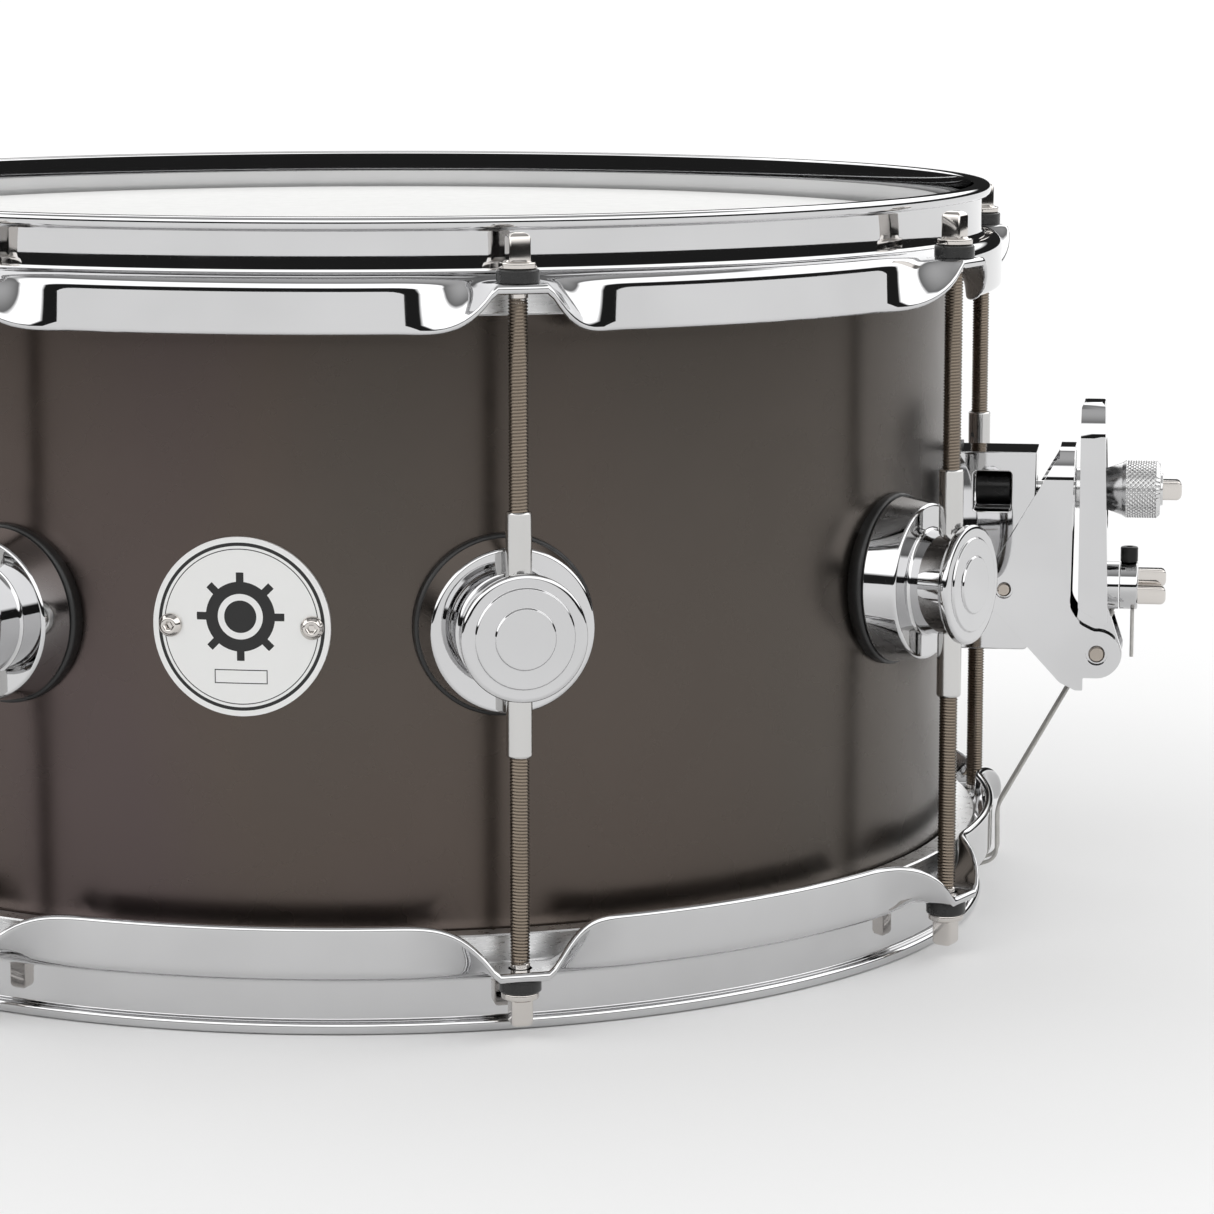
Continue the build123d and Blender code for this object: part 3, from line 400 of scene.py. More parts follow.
def moulded(name, colour, low, high, grain, height_mm, drift=0.08):
    """Rubber, nylon or film: a fine grain with a mottled shine."""
    made = Finish(name, colour, 0.0, low)
    made.rough(made.noise(grain / 3), low, high)
    made.tint(made.noise(grain / 8), *shades(colour, 1 - drift, 1.0, 1 + drift))
    made.relief(made.noise(grain, detail=6.0), height_mm)
    return made.material


chrome = polished("mirror_chrome", (0.60, 0.60, 0.605), 0.015, 0.05)
tube_chrome = polished("drawn_tube_chrome", (0.58, 0.575, 0.565), 0.05, 0.13, (6, 6, 0.4))
nickel = polished("polished_nickel", (0.64, 0.61, 0.58), 0.06, 0.14)
knurled = polished("knurled_chrome", (0.66, 0.66, 0.66), 0.16, 0.26)
dull_nickel = polished("turned_nickel", (0.42, 0.375, 0.33), 0.12, 0.24)
thread_steel = polished("rolled_thread_steel", (0.155, 0.128, 0.102), 0.2, 0.34)
zinc = polished("zinc_plate", (0.62, 0.62, 0.60), 0.22, 0.42)
bright_steel = polished("bright_wire", (0.72, 0.72, 0.72), 0.12, 0.22)
rubber = moulded("black_rubber", (0.011, 0.011, 0.011), 0.32, 0.5, 2500, 0.05)
nylon = moulded("black_nylon", (0.013, 0.013, 0.013), 0.22, 0.36, 900, 0.03)
black_oxide = polished("black_oxide", (0.03, 0.03, 0.03), 0.25, 0.4)
cord_fibre = moulded("cord_fibre", (0.45, 0.44, 0.42), 0.6, 0.85, 4500, 0.12)
coated = moulded("coated_film", (0.72, 0.72, 0.71), 0.5, 0.72, 1400, 0.08, drift=0.02)
clear_film = moulded("clear_film", (0.74, 0.76, 0.77), 0.12, 0.25, 300, 0.02, drift=0.02)
clear_film.node_tree.nodes["Principled BSDF"].inputs["Alpha"].default_value = 0.55


def brushed_aluminium():
    made = Finish("brushed_aluminium", (0.78, 0.78, 0.78), 1.0, 0.3)
    made.rough(made.noise(400, (1, 1, 12)), 0.24, 0.38)
    made.relief(made.noise(1200, (1, 1, 14)), 0.01)
    return made.material


def black_nickel():
    """Satin black-nickel plate with a faint drift between violet and green."""
    made = Finish("satin_black_nickel", (0.09, 0.08, 0.075), 1.0, 0.3)
    drift = made.noise(9, (1, 1, 0.35), detail=1.0)
    made.tint(drift, (0.100, 0.079, 0.076), (0.103, 0.084, 0.073), (0.094, 0.082, 0.072))
    made.rough(made.noise(60), 0.25, 0.29)
    return made.material


shell_finish = black_nickel()
aluminium = brushed_aluminium()

slot_materials = {
    "satin_black_nickel": shell_finish,
    "coated_film": coated,
    "clear_film": clear_film,
    "flesh_aluminium": aluminium,
    "chrome": chrome,
    "knurled_chrome": knurled,
    "lug_tube_steel": tube_chrome,
    "rod_steel": thread_steel,
    "nickel": nickel,
    "black_nylon": nylon,
    "black_rubber": rubber,
    "black_steel": black_oxide,
    "zinc_steel": zinc,
    "badge_aluminium": aluminium,
    "snare_steel": bright_steel,
    "cord_fibre": cord_fibre,
}
for part in frame["record"]["subparts"]:
    dress(frame["nodes"][part["node"]], slot_materials[part["material_slot"]])


# ---------------------------------------------------------------- counterhoops
def fold(vertex):
    """Bend the hoop's skirt outwards into a level ear at each lug."""
    radius = hypot(vertex.co.x, vertex.co.y) / MM
    depth = vertex.co.z / MM
    bend_r, bend_depth = skirt_r - skirt_bend, shelf_depth + skirt_bend
    if radius < bend_r - 2.5 or depth < shelf_depth - 0.1:
        return
    turn = atan2(vertex.co.y, vertex.co.x)
    from_lug = (turn - LUG_START + TURN / 16) % (TURN / 8) - TURN / 16
    aside = abs(from_lug) * rod_circle_r
    share = min(max((aside - 6.5) / 24.0, 0.0), 1.0)
    bend = pi / 2 * (1 - (1 - share) ** 2) if share < 1 else pi / 2
    middle = skirt_bend - hoop_steel / 2
    if depth < bend_depth:
        angle = atan2(max(radius - bend_r, 0.0), bend_depth - depth)
        offset = hypot(max(radius - bend_r, 0.0), bend_depth - depth) - middle
        run = middle * angle
    else:
        offset = radius - bend_r - middle
        run = middle * pi / 2 + depth - bend_depth
    if radius >= bend_r:
        arc = min(run / middle, bend)
        rest = run - middle * arc
        radius = bend_r + (middle + offset) * sin(arc) + rest * cos(bend)
        depth = bend_depth - (middle + offset) * cos(arc) + rest * sin(bend)
    drop = min(max((radius - bend_r + 2.5) / 5.0, 0.0), 1.0)
    depth += ear_drop * drop * drop * (3 - 2 * drop) * (1 - bend / (pi / 2))
    vertex.co = Vector((radius * cos(turn), radius * sin(turn), depth)) * MM


def hoop(name):
    """Triple flanged hoop, rim down, with its skirt folded out at the lugs."""
    inner = hoop_wall_r - hoop_steel
    skirt_in = skirt_r - hoop_steel
    bend = skirt_bend
    lip = shelf_depth + hoop_steel
    edge = 1.1

    def shelf(k, depth):
        return Vector((hoop_wall_r + 1.4 + k * (skirt_r - bend - hoop_wall_r - 1.4) / 5, depth))

    def corner(k, radius):
        turn = k * pi / 16
        return Vector((skirt_r - bend + radius * sin(turn), shelf_depth + bend - radius * cos(turn)))

    def skirt(k, radius):
        return Vector((radius, shelf_depth + bend + k * (skirt_depth - shelf_depth - bend - edge) / 8))

    points = rounded([
        (inner, 10.0),
        (inner, 0, 0.6),
        (hoop_wall_r + 2.4, 0, 1.2),
        (hoop_wall_r + 2.4, 3.2, 1.2),
        (hoop_wall_r, 3.2, 0.5),
        (hoop_wall_r, shelf_depth, 1.4),
        (skirt_in, shelf_depth),
    ])[1:-1]
    points += [shelf(k, shelf_depth) for k in range(1, 5)]
    points += [corner(k, bend) for k in range(9)]
    points += [skirt(k, skirt_r) for k in range(1, 8)]
    points += rounded([
        (skirt_in, lip), (skirt_r, lip), (skirt_r, skirt_depth, edge), (skirt_in, skirt_depth, edge),
    ])[2:]
    points += [skirt(k, skirt_in) for k in range(7, 0, -1)]
    points += [corner(k, bend - hoop_steel) for k in range(8, -1, -1)]
    points += [shelf(k, lip) for k in range(4, 0, -1)]
    points += rounded([(skirt_in, lip), (inner + 0.5, lip, 1.2), (inner, 10.0), (inner, 0)])[1:-1]
    piece = turned(name, upright, points, steps=768)
    for vertex in piece.data.vertices:
        fold(vertex)
    ear = Section((rod_circle_r, 0, 0), (1, 0, 0), (0, 1, 0))
    holes = disc(ear, 0, 0, 3.0, shelf_depth - 3, shelf_depth + 8, 32)
    cut(piece, repeat_at_lugs(holes))
    smooth(piece, 40)
    return piece


snare_hoop = hoop("snare_hoop_folded")
batter_hoop = flipped(snare_hoop, "batter_hoop_folded")
gates = [plate("gate", Section((0, 0, 0), (0, 1, 0), (0, 0, 1)), box_outline(0, 8.5, 46, 8, 2.5), *span)
         for span in ((160, 172.4), (-172.4, -160))]
cut(snare_hoop, *gates)
smooth(snare_hoop, 40)
finish(snare_hoop, "drum", "chrome", chrome, "snare_hoop")
finish(batter_hoop, "drum", "chrome", chrome, "batter_hoop")


# ---------------------------------------------------------------- shell
def shell_wall():
    wall = 1.2
    low, high = 10.95, height - 10.95
    bearing, lap = 5.5, 0.8
    points = rounded([
        (shell_r, low, 3.0),
        (shell_r, high, 3.0),
        (shell_r - bearing, high - bearing),
        (shell_r - bearing - lap, high - bearing + lap),
        (shell_r - wall, high - 2.6, 1.8),
        (shell_r - wall, low + 2.6, 1.8),
        (shell_r - bearing - lap, low + bearing - lap),
        (shell_r - bearing, low + bearing),
    ])
    piece = turned("shell_wall", upright, points, steps=360)
    cut(piece, disc(Section((0, 0, mid_z), (-1, 0, 0), (0, 0, 1)), 0, 0, 6.3, 150, 170))
    smooth(piece, 40)
    finish(piece, "drum", "satin_black_nickel", shell_finish, "shell")


def gasket(name, outline_of, at_lugs, node):
    """Rubber pad between the shell and a fitting, hollowed to the shell's curve."""
    piece = outline_of()
    tool = column(shell_r + 0.02)
    if at_lugs:
        repeat_at_lugs(piece)
    cut(piece, tool)
    smooth(piece, 40)
    piece.name = name
    finish(piece, "drum", "black_rubber", rubber, node)


shell_wall()
gasket("lug_gasket_pads", lambda: turned("pad", lug_axis, rounded([
    (0, 161.5), (22.5, 161.5), (22.5, 165.5, 0.8), (0, 165.5),
]), steps=128), True, "lug_gaskets")


# ---------------------------------------------------------------- lugs
def lugs():
    ring_front, cap_back = 174.6, 184.2
    base = turned("lug_base_turned", lug_axis, rounded([
        (0, gasket_front), (21.8, gasket_front, 0.6), (20.3, ring_front, 0.9), (13.5, ring_front, 1.0),
        (13.5, cap_back - 0.6, 0.3), (14.6, cap_back, 0.2), (0, cap_back),
    ]), steps=128)
    cap_front = cap_back + 2.8
    cap = turned("lug_cap_turned", lug_axis, rounded([
        (0, cap_back), (14.8, cap_back, 0.3), (15.6, cap_back + 0.9, 0.5), (15.6, cap_front - 0.2, 0.7),
        (14.6, cap_front, 0.4), (12.4, cap_front, 0.25), (12.1, cap_front + 0.5, 0.25),
        (7.6, cap_front + 0.5, 0.2), (7.3, cap_front + 1.0, 0.2), (0, cap_front + 1.0),
    ], steps=3), steps=128)
    bore = Section((rod_circle_r, 0, mid_z), (1, 0, 0), (0, 0, 1))
    tube = turned("lug_tube_turned", bore, rounded([
        (2.5, -tube_half), (2.9, -tube_half, 0.15), (3.2, -tube_half + 0.5, 0.2), (3.2, tube_half - 0.5, 0.2),
        (2.9, tube_half, 0.15), (2.5, tube_half), (2.5, tube_half - 2), (0, tube_half - 2),
        (0, 2 - tube_half), (2.5, 2 - tube_half),
    ], steps=2), steps=48)
    finish(repeat_at_lugs(base), "drum", "chrome", chrome, "lug_bases")
    finish(repeat_at_lugs(cap), "drum", "chrome", chrome, "lug_caps")
    finish(repeat_at_lugs(tube), "drum", "lug_tube_steel", tube_chrome, "lug_tubes")


lugs()


# ---------------------------------------------------------------- tension rods
def tension_rod():
    """A batter-side rod at +X: square domed head, collar and rolled thread."""
    axis = Section((rod_circle_r, 0, 0), (1, 0, 0), (0, 0, 1))
    ear_top = height - shelf_depth - ear_drop
    collar = ear_top + washer_thick + 0.05
    foot = mid_z + tube_half - 12
    pitch = 0.8
    turns = int((ear_top - 4 - foot) / pitch)
    crest, root = 2.415, 2.12
    thread = open_line("thread", upright, [
        (crest, foot), (crest, foot + 0.12), (root, foot + 0.4), (root, foot + 0.52), (crest, foot + pitch),
    ])
    modify(thread, "SCREW", axis="Z", angle=TURN, screw_offset=pitch * MM, iterations=turns, steps=20,
           render_steps=20, use_smooth_shade=True)
    edit_mode()
    bpy.ops.mesh.remove_doubles(threshold=0.002 * MM)
    bpy.ops.mesh.fill_holes(sides=0)
    bpy.ops.mesh.select_all(action="SELECT")
    bpy.ops.mesh.normals_make_consistent(inside=False)
    object_mode()
    thread.data.transform(Matrix.Translation((rod_circle_r * MM, 0, 0)))
    dress(thread, thread_steel)
    top = foot + pitch * (turns + 0.6)
    neck = turned("neck", axis, rounded([
        (0, top - 1), (2.1, top - 1), (2.1, top), (2.415, top + 0.3), (2.415, collar), (4.65, collar, 0.4),
        (4.65, collar + 1.7, 0.45), (3.7, collar + 1.7, 0.3), (3.2, collar + 2.2), (0, collar + 2.2),
    ], steps=3), steps=40)
    level = Section((rod_circle_r, 0, 0), (1, 0, 0), (0, 1, 0))
    key = key_head(level, 0, 0, rod_key, collar + 1.6, collar + 8.6)
    head = join("rod_head", neck, key)
    dress(head, nickel)
    return join("rod", thread, head)


def tension_rods():
    rod = tension_rod()
    twin = flipped(rod, "rod_flipped")
    for side, source in (("batter", rod), ("snare", twin)):
        for number in range(LUGS):
            only(source)
            bpy.ops.object.duplicate()
            piece = bpy.context.object
            piece.name = f"{side}_tension_rod_{number + 1}"
            piece.data.transform(Matrix.Rotation(LUG_START + number * TURN / LUGS, 4, "Z"))
            node = f"{side}_rod_{number + 1}"
            finish(piece, node, "rod_steel", None, node)
        bpy.data.objects.remove(source)


def nylon_washers():
    axis = Section((rod_circle_r, 0, height - shelf_depth - ear_drop), (1, 0, 0), (0, 0, 1))
    washer = turned("batter_nylon_washers", axis, rounded([
        (2.6, 0), (5.2, 0, 0.35), (5.2, washer_thick, 0.5), (2.6, washer_thick),
    ]), steps=48)
    repeat_at_lugs(washer)
    finish(flipped(washer, "snare_nylon_washers"), "drum", "black_nylon", nylon, "snare_washers")
    finish(washer, "drum", "black_nylon", nylon, "batter_washers")


tension_rods()
nylon_washers()


# ---------------------------------------------------------------- badge
def badge_print(made):
    """Black rings, a drum seen from above with its eight lugs, and a blank plate below it."""
    tree = made.tree

    def maths(operation, first, second=0.0, third=0.0):
        node = tree.nodes.new("ShaderNodeMath")
        node.operation = operation
        for socket, value in zip(node.inputs, (first, second, third)):
            if isinstance(value, float):
                socket.default_value = value
            else:
                tree.links.new(value, socket)
        return node.outputs[0]

    def band(value, middle, half):
        return maths("COMPARE", value, middle, half)

    separate = tree.nodes.new("ShaderNodeSeparateXYZ")
    tree.links.new(made.coordinates, separate.inputs[0])
    x = maths("MULTIPLY", separate.outputs["X"], 1000.0)
    z = maths("MULTIPLY_ADD", separate.outputs["Z"], 1000.0, -mid_z)
    up = maths("SUBTRACT", z, 2.5)
    ring = maths("SQRT", maths("ADD", maths("MULTIPLY", x, x), maths("MULTIPLY", z, z)))
    middle = maths("SQRT", maths("ADD", maths("MULTIPLY", x, x), maths("MULTIPLY", up, up)))
    turn = maths("PINGPONG", maths("ADD", maths("ARCTAN2", up, x), TURN), TURN / 16)
    aside = maths("MULTIPLY", maths("SINE", turn), middle)
    spoke = maths("MULTIPLY", maths("LESS_THAN", aside, 0.95), band(middle, 9.6, 1.3))
    high = maths("ABSOLUTE", maths("ADD", z, 12.3))
    wide = maths("ABSOLUTE", x)
    plate_out = maths("MULTIPLY", maths("LESS_THAN", wide, 6.6), maths("LESS_THAN", high, 1.75))
    plate_in = maths("MULTIPLY", maths("LESS_THAN", wide, 6.35), maths("LESS_THAN", high, 1.5))
    marks = (band(ring, 20.3, 0.42), band(ring, 19.1, 0.12), band(middle, 7.1, 1.5), band(middle, 2.0, 2.0),
             spoke, maths("SUBTRACT", plate_out, plate_in))
    ink = marks[0]
    for mark in marks[1:]:
        ink = maths("MAXIMUM", ink, mark)
    paint = tree.nodes.new("ShaderNodeMix")
    paint.data_type = "RGBA"
    paint.inputs[6].default_value = (0.80, 0.80, 0.79, 1)
    paint.inputs[7].default_value = (0.008, 0.008, 0.008, 1)
    tree.links.new(ink, paint.inputs[0])
    tree.links.new(paint.outputs[2], made.shader.inputs["Base Color"])
    tree.links.new(maths("SUBTRACT", 0.75, maths("MULTIPLY", ink, 0.7)), made.shader.inputs["Metallic"])


def badge():
    made = Finish("printed_aluminium", (0.8, 0.8, 0.79), 0.75, 0.36)
    made.rough(made.noise(500, (14, 1, 1)), 0.3, 0.42)
    made.relief(made.noise(1400, (14, 1, 1)), 0.006)
    badge_print(made)
    front = Section((0, 0, mid_z), (1, 0, 0), (0, 0, 1))
    piece = disc(front, 0, 0, 22.1, 152, 168, vertices=160)
    outer = column(shell_r + 1.05)
    inner = column(shell_r + 0.05)
    cut(piece, outer, operation="INTERSECT")
    cut(piece, inner)
    soften(piece, 0.3, angle=50)
    piece.name = "badge_plate"
    finish(piece, "drum", "badge_aluminium", made.material, "badge")
    screws = []
    for side in (-1, 1):
        turn = -pi / 2 + side * atan2(17.6, shell_r)
        out = Vector((cos(turn), sin(turn), 0))
        axis = Section(out * (shell_r + 1.05) + Vector((0, 0, mid_z)), (0, 0, 1), out)
        head = turned("badge_screw", axis, rounded([
            (0, -1.2), (2.0, -1.2), (2.0, 0), (2.95, 0, 0.25), (2.9, 0.7, 0.6), (1.9, 1.75, 0.6), (0, 1.9),
        ], steps=4), steps=48)
        face = Section(axis.origin, (-out.y, out.x, 0), (0, 0, 1))
        cut(head, disc(face, 0, 0, 1.0, 0.7, 3, vertices=6))
        smooth(head, 30)
        screws.append(head)
    finish(join("badge_button_screws", *screws), "drum", "nickel", nickel, "badge_screws")


badge()


# ---------------------------------------------------------------- throw-off
def arc(x, y, radius, start, end, steps=16):
    """Points round part of a circle, with its two ends in degrees."""
    span = [radians(start + (end - start) * k / steps) for k in range(steps + 1)]
    return [(x + radius * cos(turn), y + radius * sin(turn)) for turn in span]


pin_out, pin_up = 14.7, -10.1
lever_pin_out, lever_pin_up = 40.2, -27.5
cheek_in, cheek_out = 11.0, 13.5
clamp_up, clamp_r = -10.1, 6.55


def throw_off_base():
    piece = plate("throw_off_base", throw_side, rounded([
        (1.2, -27.0), (20.4, -27.0, 1.2), (22.9, -24.5, 1.2), (22.9, 27.5), (1.2, 27.5),
    ]), -10.5, 10.5)
    cut(piece, plate("window", throw_side, box_outline(11, adjuster_up, 10.3, 10.9, 1.0), -12, 12),
        disc(throw_side, pin_out, pin_up, 1.9, -12, 12),
        disc(throw_front, 0, adjuster_up, 3.05, 12, 25),
        column(gasket_front))
    soften(piece, 0.45, angle=40)
    finish(piece, "drum", "chrome", chrome, "strainer_base")
    nut = turned("adjuster_nut_barrel", knob_axis, rounded([
        (2.75, 6.2), (5.0, 6.2, 0.4), (5.0, 15.8, 0.4), (2.75, 15.8),
    ]), steps=64)
    finish(nut, "drum", "black_steel", black_oxide, "adjuster_nut")
    pad = box_outline(0, 0.25, 23, 56.5, 2)
    gasket("throw_off_gasket_pad", lambda: plate("pad", throw_front, pad, -2, 2), False,
           "strainer_gasket")


def throw_off_frame():
    outline = rounded([
        (29.2, 29, 1.2), (33.3, 29, 1.2), (32.7, -14.5, 5.0), (35.6, -19.2, 3.5), (38.6, -20.7),
    ], steps=8)
    outline += [Vector(point) for point in arc(lever_pin_out, lever_pin_up, 6.5, 96, -88)]
    outline += rounded([
        (38.6, -20.7), (39.6, -34.0), (36.5, -34.0, 0.4), (36.5, -37.5, 0.3), (34.5, -37.5, 1.0),
        (30.2, -35.4, 3.0), (11.5, -15.05, 1.5), (10.8, pin_up, 2.0), (12.6, -1.7, 3.0), (29.2, 29),
    ], steps=8)[1:-1]
    piece = plate("throw_off_frame", throw_side, outline, cheek_in, cheek_out)
    far = plate("far_cheek", throw_side, outline, -cheek_out, -cheek_in)
    web = plate("web", throw_side, [(29.2, 4), (32.6, 4), (33.25, 28.6), (29.2, 28.6)], -11.4, 11.4)
    foot_outline = [(26.0, -30.9), (30.3, -35.5), (31.8, -34.1), (27.5, -29.5)]
    foot = plate("foot_web", throw_side, foot_outline, -11.4, 11.4)
    cut(piece, far, web, foot, operation="UNION")
    cut(piece, plate("top_shape", throw_front, box_outline(0, -21, 27, 100, 9), 5, 60),
        operation="INTERSECT")
    for side in (-1, 1):
        span = sorted((side * 12.0, side * 14))
        cut(piece, disc(throw_side, pin_out, pin_up, 2.4, *span),
            disc(throw_side, lever_pin_out, lever_pin_up, 2.95, *span))
    cut(piece, disc(throw_side, pin_out, pin_up, 1.9, -14, 14),
        disc(throw_side, lever_pin_out, lever_pin_up, 2.25, -14, 14),
        disc(throw_front, 0, adjuster_up, 2.1, 26, 35))
    soften(piece, 0.4, angle=40)
    finish(piece, "throw_off_frame", "chrome", chrome, "strainer_frame")


def pin(name, x, y, radius, spans, body, node):
    """Turned pins with a small chamfer at each end."""
    ends = []
    for low, high in spans:
        axis = Section(throw_side.place(x, y) / MM, (0, 0, 1), throw_side.normal)
        ends.append(turned("pin", axis, [
            (0, low), (radius - 0.4, low), (radius, low + 0.35),
            (radius, high - 0.35), (radius - 0.4, high), (0, high),
        ], steps=40))
    piece = join(name, *ends) if len(ends) > 1 else ends[0]
    piece.name = name
    finish(piece, body, "nickel", dull_nickel, node)


def throw_off_lever():
    piece = plate("throw_off_lever", throw_side, rounded([
        (34.9, -14.8, 0.6), (43.1, -19.9, 0.6), (41.3, 41, 1.4), (34.9, 41, 1.4),
    ]), -cheek_out, cheek_out)
    cut(piece, plate("front_shape", throw_front, box_outline(0, -9, 27, 100, 9), 30, 50),
        operation="INTERSECT")
    cut(piece, plate("finger_window", throw_front, box_outline(0, 18.25, 17.2, 24.5, 6), 30, 50),
        plate("notch", throw_front, box_outline(0, -20.5, 12, 10, 1.5), 30, 50),
        plate("hollow", throw_side, [(33.5, -23), (39.9, -23), (39.3, 3), (33.5, 3)], -cheek_in, cheek_in))
    for side in (-1, 1):
        span = sorted((side * 8.0, side * 10.7))
        tongue = [(36.0, -8), (40.8, -8)] + arc(lever_pin_out, lever_pin_up, 6.8, 5, -185)
        cut(piece, plate("tongue", throw_side, [Vector(point) for point in tongue], *span), operation="UNION")
    cut(piece, disc(throw_side, lever_pin_out, lever_pin_up, 2.25, -14, 14))
    cut(piece, disc(throw_front, 0, clamp_up, clamp_r, 40.3, 45.7, vertices=96), operation="UNION")
    soften(piece, 0.45, angle=40)
    finish(piece, "throw_off_lever", "chrome", chrome, "lever")


def cord_clamp():
    axis = Section((shell_r, 0, mid_z + clamp_up), (0, 0, 1), (1, 0, 0))
    cap = turned("cord_clamp_cap", axis, rounded([
        (0, 45.9), (clamp_r, 45.9, 0.3), (clamp_r, 50.9, 0.55), (0, 50.9),
    ]), steps=96)
    finish(cap, "throw_off_lever", "chrome", chrome, "clamp_cap")
    top = clamp_up + clamp_r
    post = Section((shell_r + 48.4, 0, mid_z), (1, 0, 0), (0, 0, 1))
    screw = turned("clamp_set_screw_head", post, rounded([
        (0, top - 1.0), (1.2, top - 1.0), (1.2, top + 0.1), (2.4, top + 0.1, 0.3),
        (2.4, top + 4.3, 0.5), (0, top + 4.3),
    ]), steps=48)
    socket = Section(post.origin, (1, 0, 0), (0, 1, 0))
    cut(screw, disc(socket, 0, 0, 1.1, top + 2.2, top + 6, vertices=6))
    smooth(screw, 35)
    finish(screw, "throw_off_lever", "black_steel", black_oxide, "clamp_set_screw")
    for number, (across, up) in enumerate(((-3.2, -12.1), (3.2, -8.1)), start=1):
        node = f"clamp_screw_{number}"
        head = key_head(throw_front, across, up, screw_key, 50.95, 58.5)
        head.name = f"clamp_key_screw_{number}"
        finish(head, node, "nickel", nickel, node)


def adjuster():
    """Stud, cone neck, diamond-knurled grip and square key end, turned as one."""
    start, end, radius = 46.1, 56.5, 7.9
    low, high = start + 1.1, end - 1.1
    rows, columns, samples = 6, 36, 8
    groove = 0.42
    pitch = (high - low) / rows
    along = [low + pitch * k / samples for k in range(rows * samples + 1)]
    points = rounded([
        (0, 7.2), (1.95, 7.2, 0.4), (1.95, 33.4), (5.6, 33.4, 0.4), (5.6, 41.6, 1.0),
        (7.2, start, 0.2), (radius, low),
    ], steps=3)
    points += [Vector((radius, out)) for out in along[1:-1]]
    points += rounded([
        (0, end), (radius, low), (radius, high), (6.9, end, 0.3), (4.4, end, 0.2), (4.4, 57.2, 0.2),
        (0, 57.2),
    ], steps=3)[2:]
    piece = turned("adjuster_grip", knob_axis, points, steps=columns * samples)
    middle = knob_axis.place(0, 0)
    for vertex in piece.data.vertices:
        arm = vertex.co - middle
        out = arm.x / MM
        if low < out < high and hypot(arm.y, arm.z) > (radius - 0.05) * MM:
            around = atan2(arm.z, arm.y) / TURN * columns
            rise = (out - low) / pitch
            ridge = min(abs((part + 0.5) % 1 - 0.5) for part in (around + rise, around - rise))
            scale = 1 - groove * (1 - min(3 * ridge, 1)) / radius
            vertex.co.y = middle.y + arm.y * scale
            vertex.co.z = middle.z + arm.z * scale
    smooth(piece, 20)
    dress(piece, knurled)
    key = key_head(throw_front, 0, adjuster_up, rod_key, 57.1, 62.3)
    dress(key, nickel)
    finish(join("adjuster_grip", piece, key), "adjuster", "knurled_chrome", None, "adjuster_knob")


throw_off_base()
throw_off_frame()
pin("frame_pivot_pin", pin_out, pin_up, 1.85, [(-13.3, 13.3)], "drum", "frame_pin")
pin("lever_pivot_pins", lever_pin_out, lever_pin_up, 2.2, [(-13.3, -7.6), (7.6, 13.3)],
    "throw_off_frame", "lever_pins")
throw_off_lever()
cord_clamp()
adjuster()


# ---------------------------------------------------------------- butt plate
def butt_end():
    face = Section((-shell_r, 0, mid_z), (0, -1, 0), (0, 0, 1))
    block = plate("butt_plate_block", face, box_outline(0, 0, 30, 36, 3), 1.0, 12.6)
    cut(block, column(gasket_front))
    soften(block, 1.3, segments=4, angle=50)
    finish(block, "drum", "chrome", chrome, "butt_block")
    clamp = plate("butt_cord_clamp", face, box_outline(0, -8, 24, 11, 1.5), 13.6, 16.6)
    soften(clamp, 0.5, angle=50)
    finish(clamp, "drum", "chrome", chrome, "butt_clamp")
    pad = box_outline(0, 0, 32, 38, 3)
    gasket("butt_gasket_pad", lambda: plate("pad", face, pad, -2, 2), False, "butt_gasket")
    for number, across in ((1, 8), (2, -8)):
        node = f"butt_screw_{number}"
        head = key_head(face, -across, -8, screw_key, 16.65, 24.2)
        head.name = f"butt_key_screw_{number}"
        finish(head, node, "nickel", nickel, node)


butt_end()


# ---------------------------------------------------------------- snares
def snare_wires():
    """Twenty coiled wires between the two plates."""
    low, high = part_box("snare_wires")
    z = (low.z + high.z) / 2 / MM
    half = high.x / MM
    pitch, count = 1.3, 20
    turns = int(2 * half / pitch)
    points = [(0, -half)]
    for k in range(turns):
        points += [(0.8, -half + (k + 0.25) * pitch), (0.52, -half + (k + 0.75) * pitch)]
    points.append((0, half))
    first = Section((0, low.y / MM + 0.8, z), (0, 0, 1), (1, 0, 0))
    wire = turned("coiled_snare_wires", first, points, steps=7)
    spacing = ((high.y - low.y) / MM - 1.6) / (count - 1)
    modify(wire, "ARRAY", count=count, use_relative_offset=False, use_constant_offset=True,
           constant_offset_displace=(0, spacing * MM, 0))
    smooth(wire, 80)
    finish(wire, "drum", "snare_steel", bright_steel, "snare_wires")


snare_wires()


# ---------------------------------------------------------------- cords
def strands(name, side, points):
    """Two round cords side by side along a route of (radius, height) points."""
    pair = []
    for across in (-4.0, 4.0):
        line = open_line("strand", Section((0, across, 0), (side, 0, 0), (0, 0, 1)), points)
        only(line)
        bpy.ops.object.convert(target="CURVE")
        line.data.bevel_depth = 0.5 * MM
        line.data.bevel_resolution = 2
        line.data.use_fill_caps = True
        bpy.ops.object.convert(target="MESH")
        smooth(line, 60)
        pair.append(bpy.context.object)
    piece = join(name, *pair)
    dress(piece, cord_fibre)
    return piece


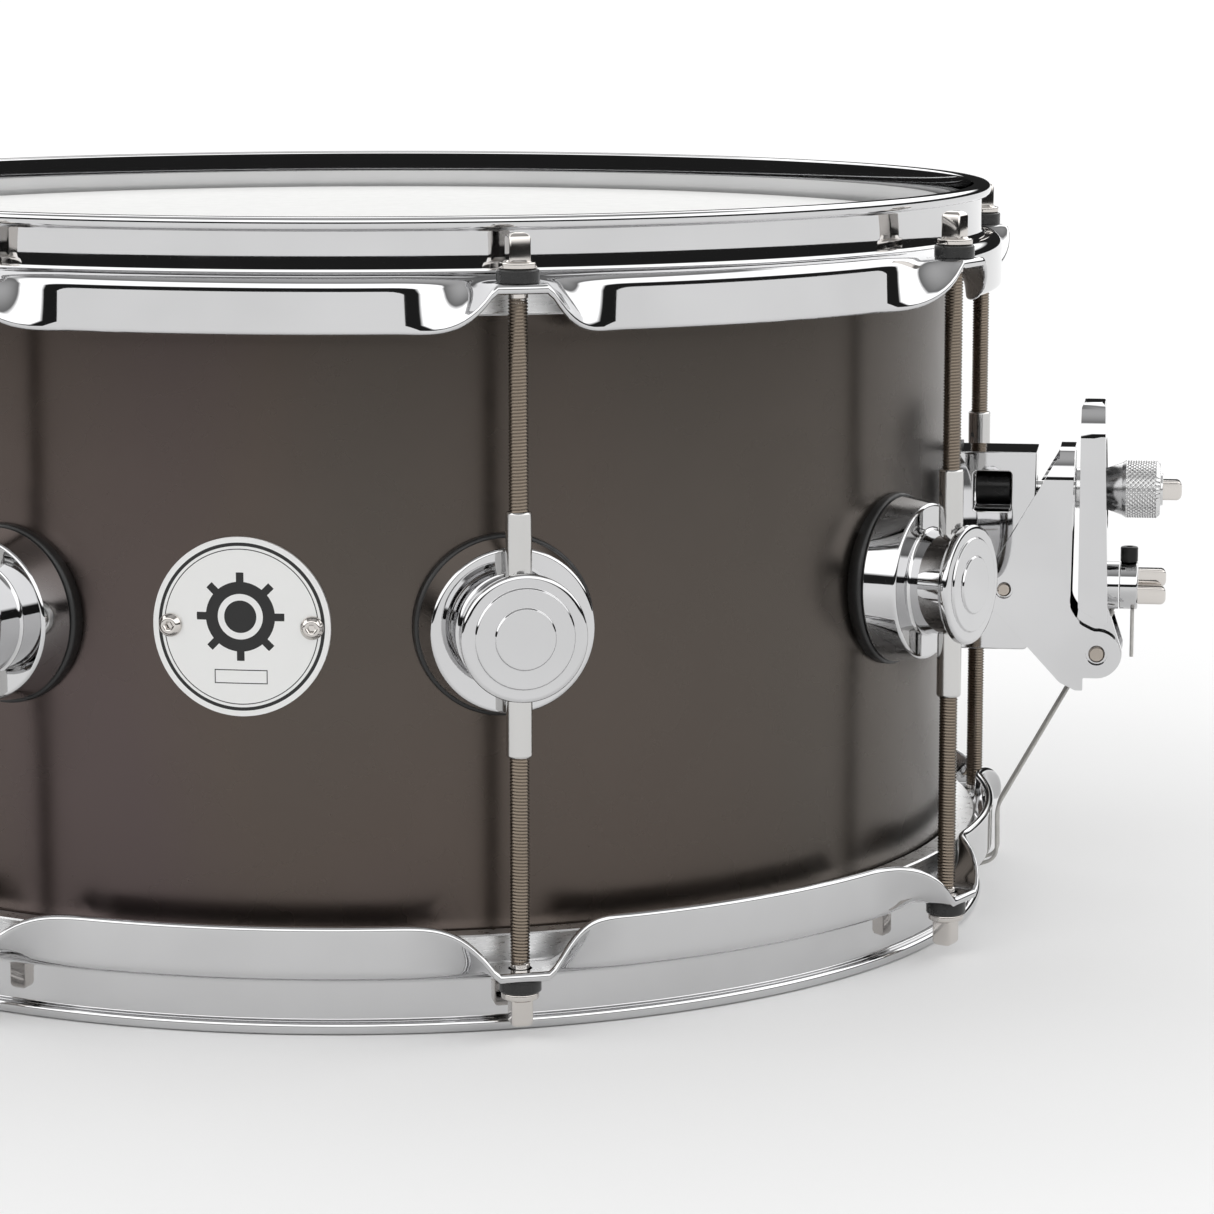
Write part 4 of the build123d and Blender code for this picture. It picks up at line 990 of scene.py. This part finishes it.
def cords():
    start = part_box("throw_cord")[0]
    plate_mid = start.z / MM + 0.5
    gate = [(start.x / MM, plate_mid), (168.6, 9.6, 8.0), (176.9, 12.55, 4.0), (176.7, 27.05, 10.0)]
    clamp_end = Vector((207.9, 83.1))
    butt_clamp_end = (176.6, 86.35)
    route = rounded(gate + [tuple(clamp_end)], steps=10)
    share = Vector((195.6, 61.0))
    split = route[-2].lerp(clamp_end, (share.y - route[-2].y) / (clamp_end.y - route[-2].y))
    below = route[:-1] + [route[-2].lerp(split, k / 8) for k in range(1, 9)]
    above = [split.lerp(clamp_end, k / 24) for k in range(25)]

    lower = strands("throw_cord_lower", 1, below)
    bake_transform(lower)
    upper = strands("throw_cord_upper", 1, above)
    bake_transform(upper)
    for piece in (lower, upper):
        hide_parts("throw_cord")
    butt = strands("butt_cord_strands", -1, rounded(gate + [butt_clamp_end], steps=10))
    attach(butt, "drum")
    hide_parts("butt_cord")


cords()

# ---------------------------------------------------------------- studio
bpy.ops.mesh.primitive_plane_add(size=60, location=(0, 0, -0.0002))
floor = bpy.context.object
floor.name = "floor"
dress(floor, Finish("paper", (0.86, 0.86, 0.86), 0.0, 0.9).material)

world = bpy.data.worlds.new("studio")
bpy.context.scene.world = world
world.use_nodes = True
tree = world.node_tree
background = tree.nodes["Background"]
coordinates = tree.nodes.new("ShaderNodeTexCoord")
separate = tree.nodes.new("ShaderNodeSeparateXYZ")
ramp = tree.nodes.new("ShaderNodeValToRGB")
tree.links.new(coordinates.outputs["Generated"], separate.inputs[0])
tree.links.new(separate.outputs["Z"], ramp.inputs[0])
backdrop = tree.nodes.new("ShaderNodeMix")
backdrop.data_type = "RGBA"
backdrop.inputs[7].default_value = (1, 1, 1, 1)
tree.links.new(tree.nodes.new("ShaderNodeLightPath").outputs["Is Camera Ray"], backdrop.inputs[0])
tree.links.new(ramp.outputs[0], backdrop.inputs[6])
tree.links.new(backdrop.outputs[2], background.inputs[0])
# Grey of the light from the horizon (0) to overhead (1): dark low down, a bright band, then dim
stops = ((0.0, 0.01), (0.19, 0.01), (0.25, 1.0), (0.74, 1.0), (0.8, 0.12), (1.0, 0.3))
while len(ramp.color_ramp.elements) < len(stops):
    ramp.color_ramp.elements.new(0.5)
for element, (place, grey) in zip(ramp.color_ramp.elements, stops):
    element.position = place
    element.color = (grey, grey, grey, 1)
background.inputs[1].default_value = 1.9

bpy.ops.object.camera_add(location=(0.2269, -1.1223, 0.2600), rotation=(radians(81.0), 0, radians(8.13)))
camera = bpy.context.object
camera.data.lens = 121.1
camera.data.sensor_width = 36
bpy.context.scene.camera = camera
bpy.context.scene.view_settings.view_transform = "Standard"
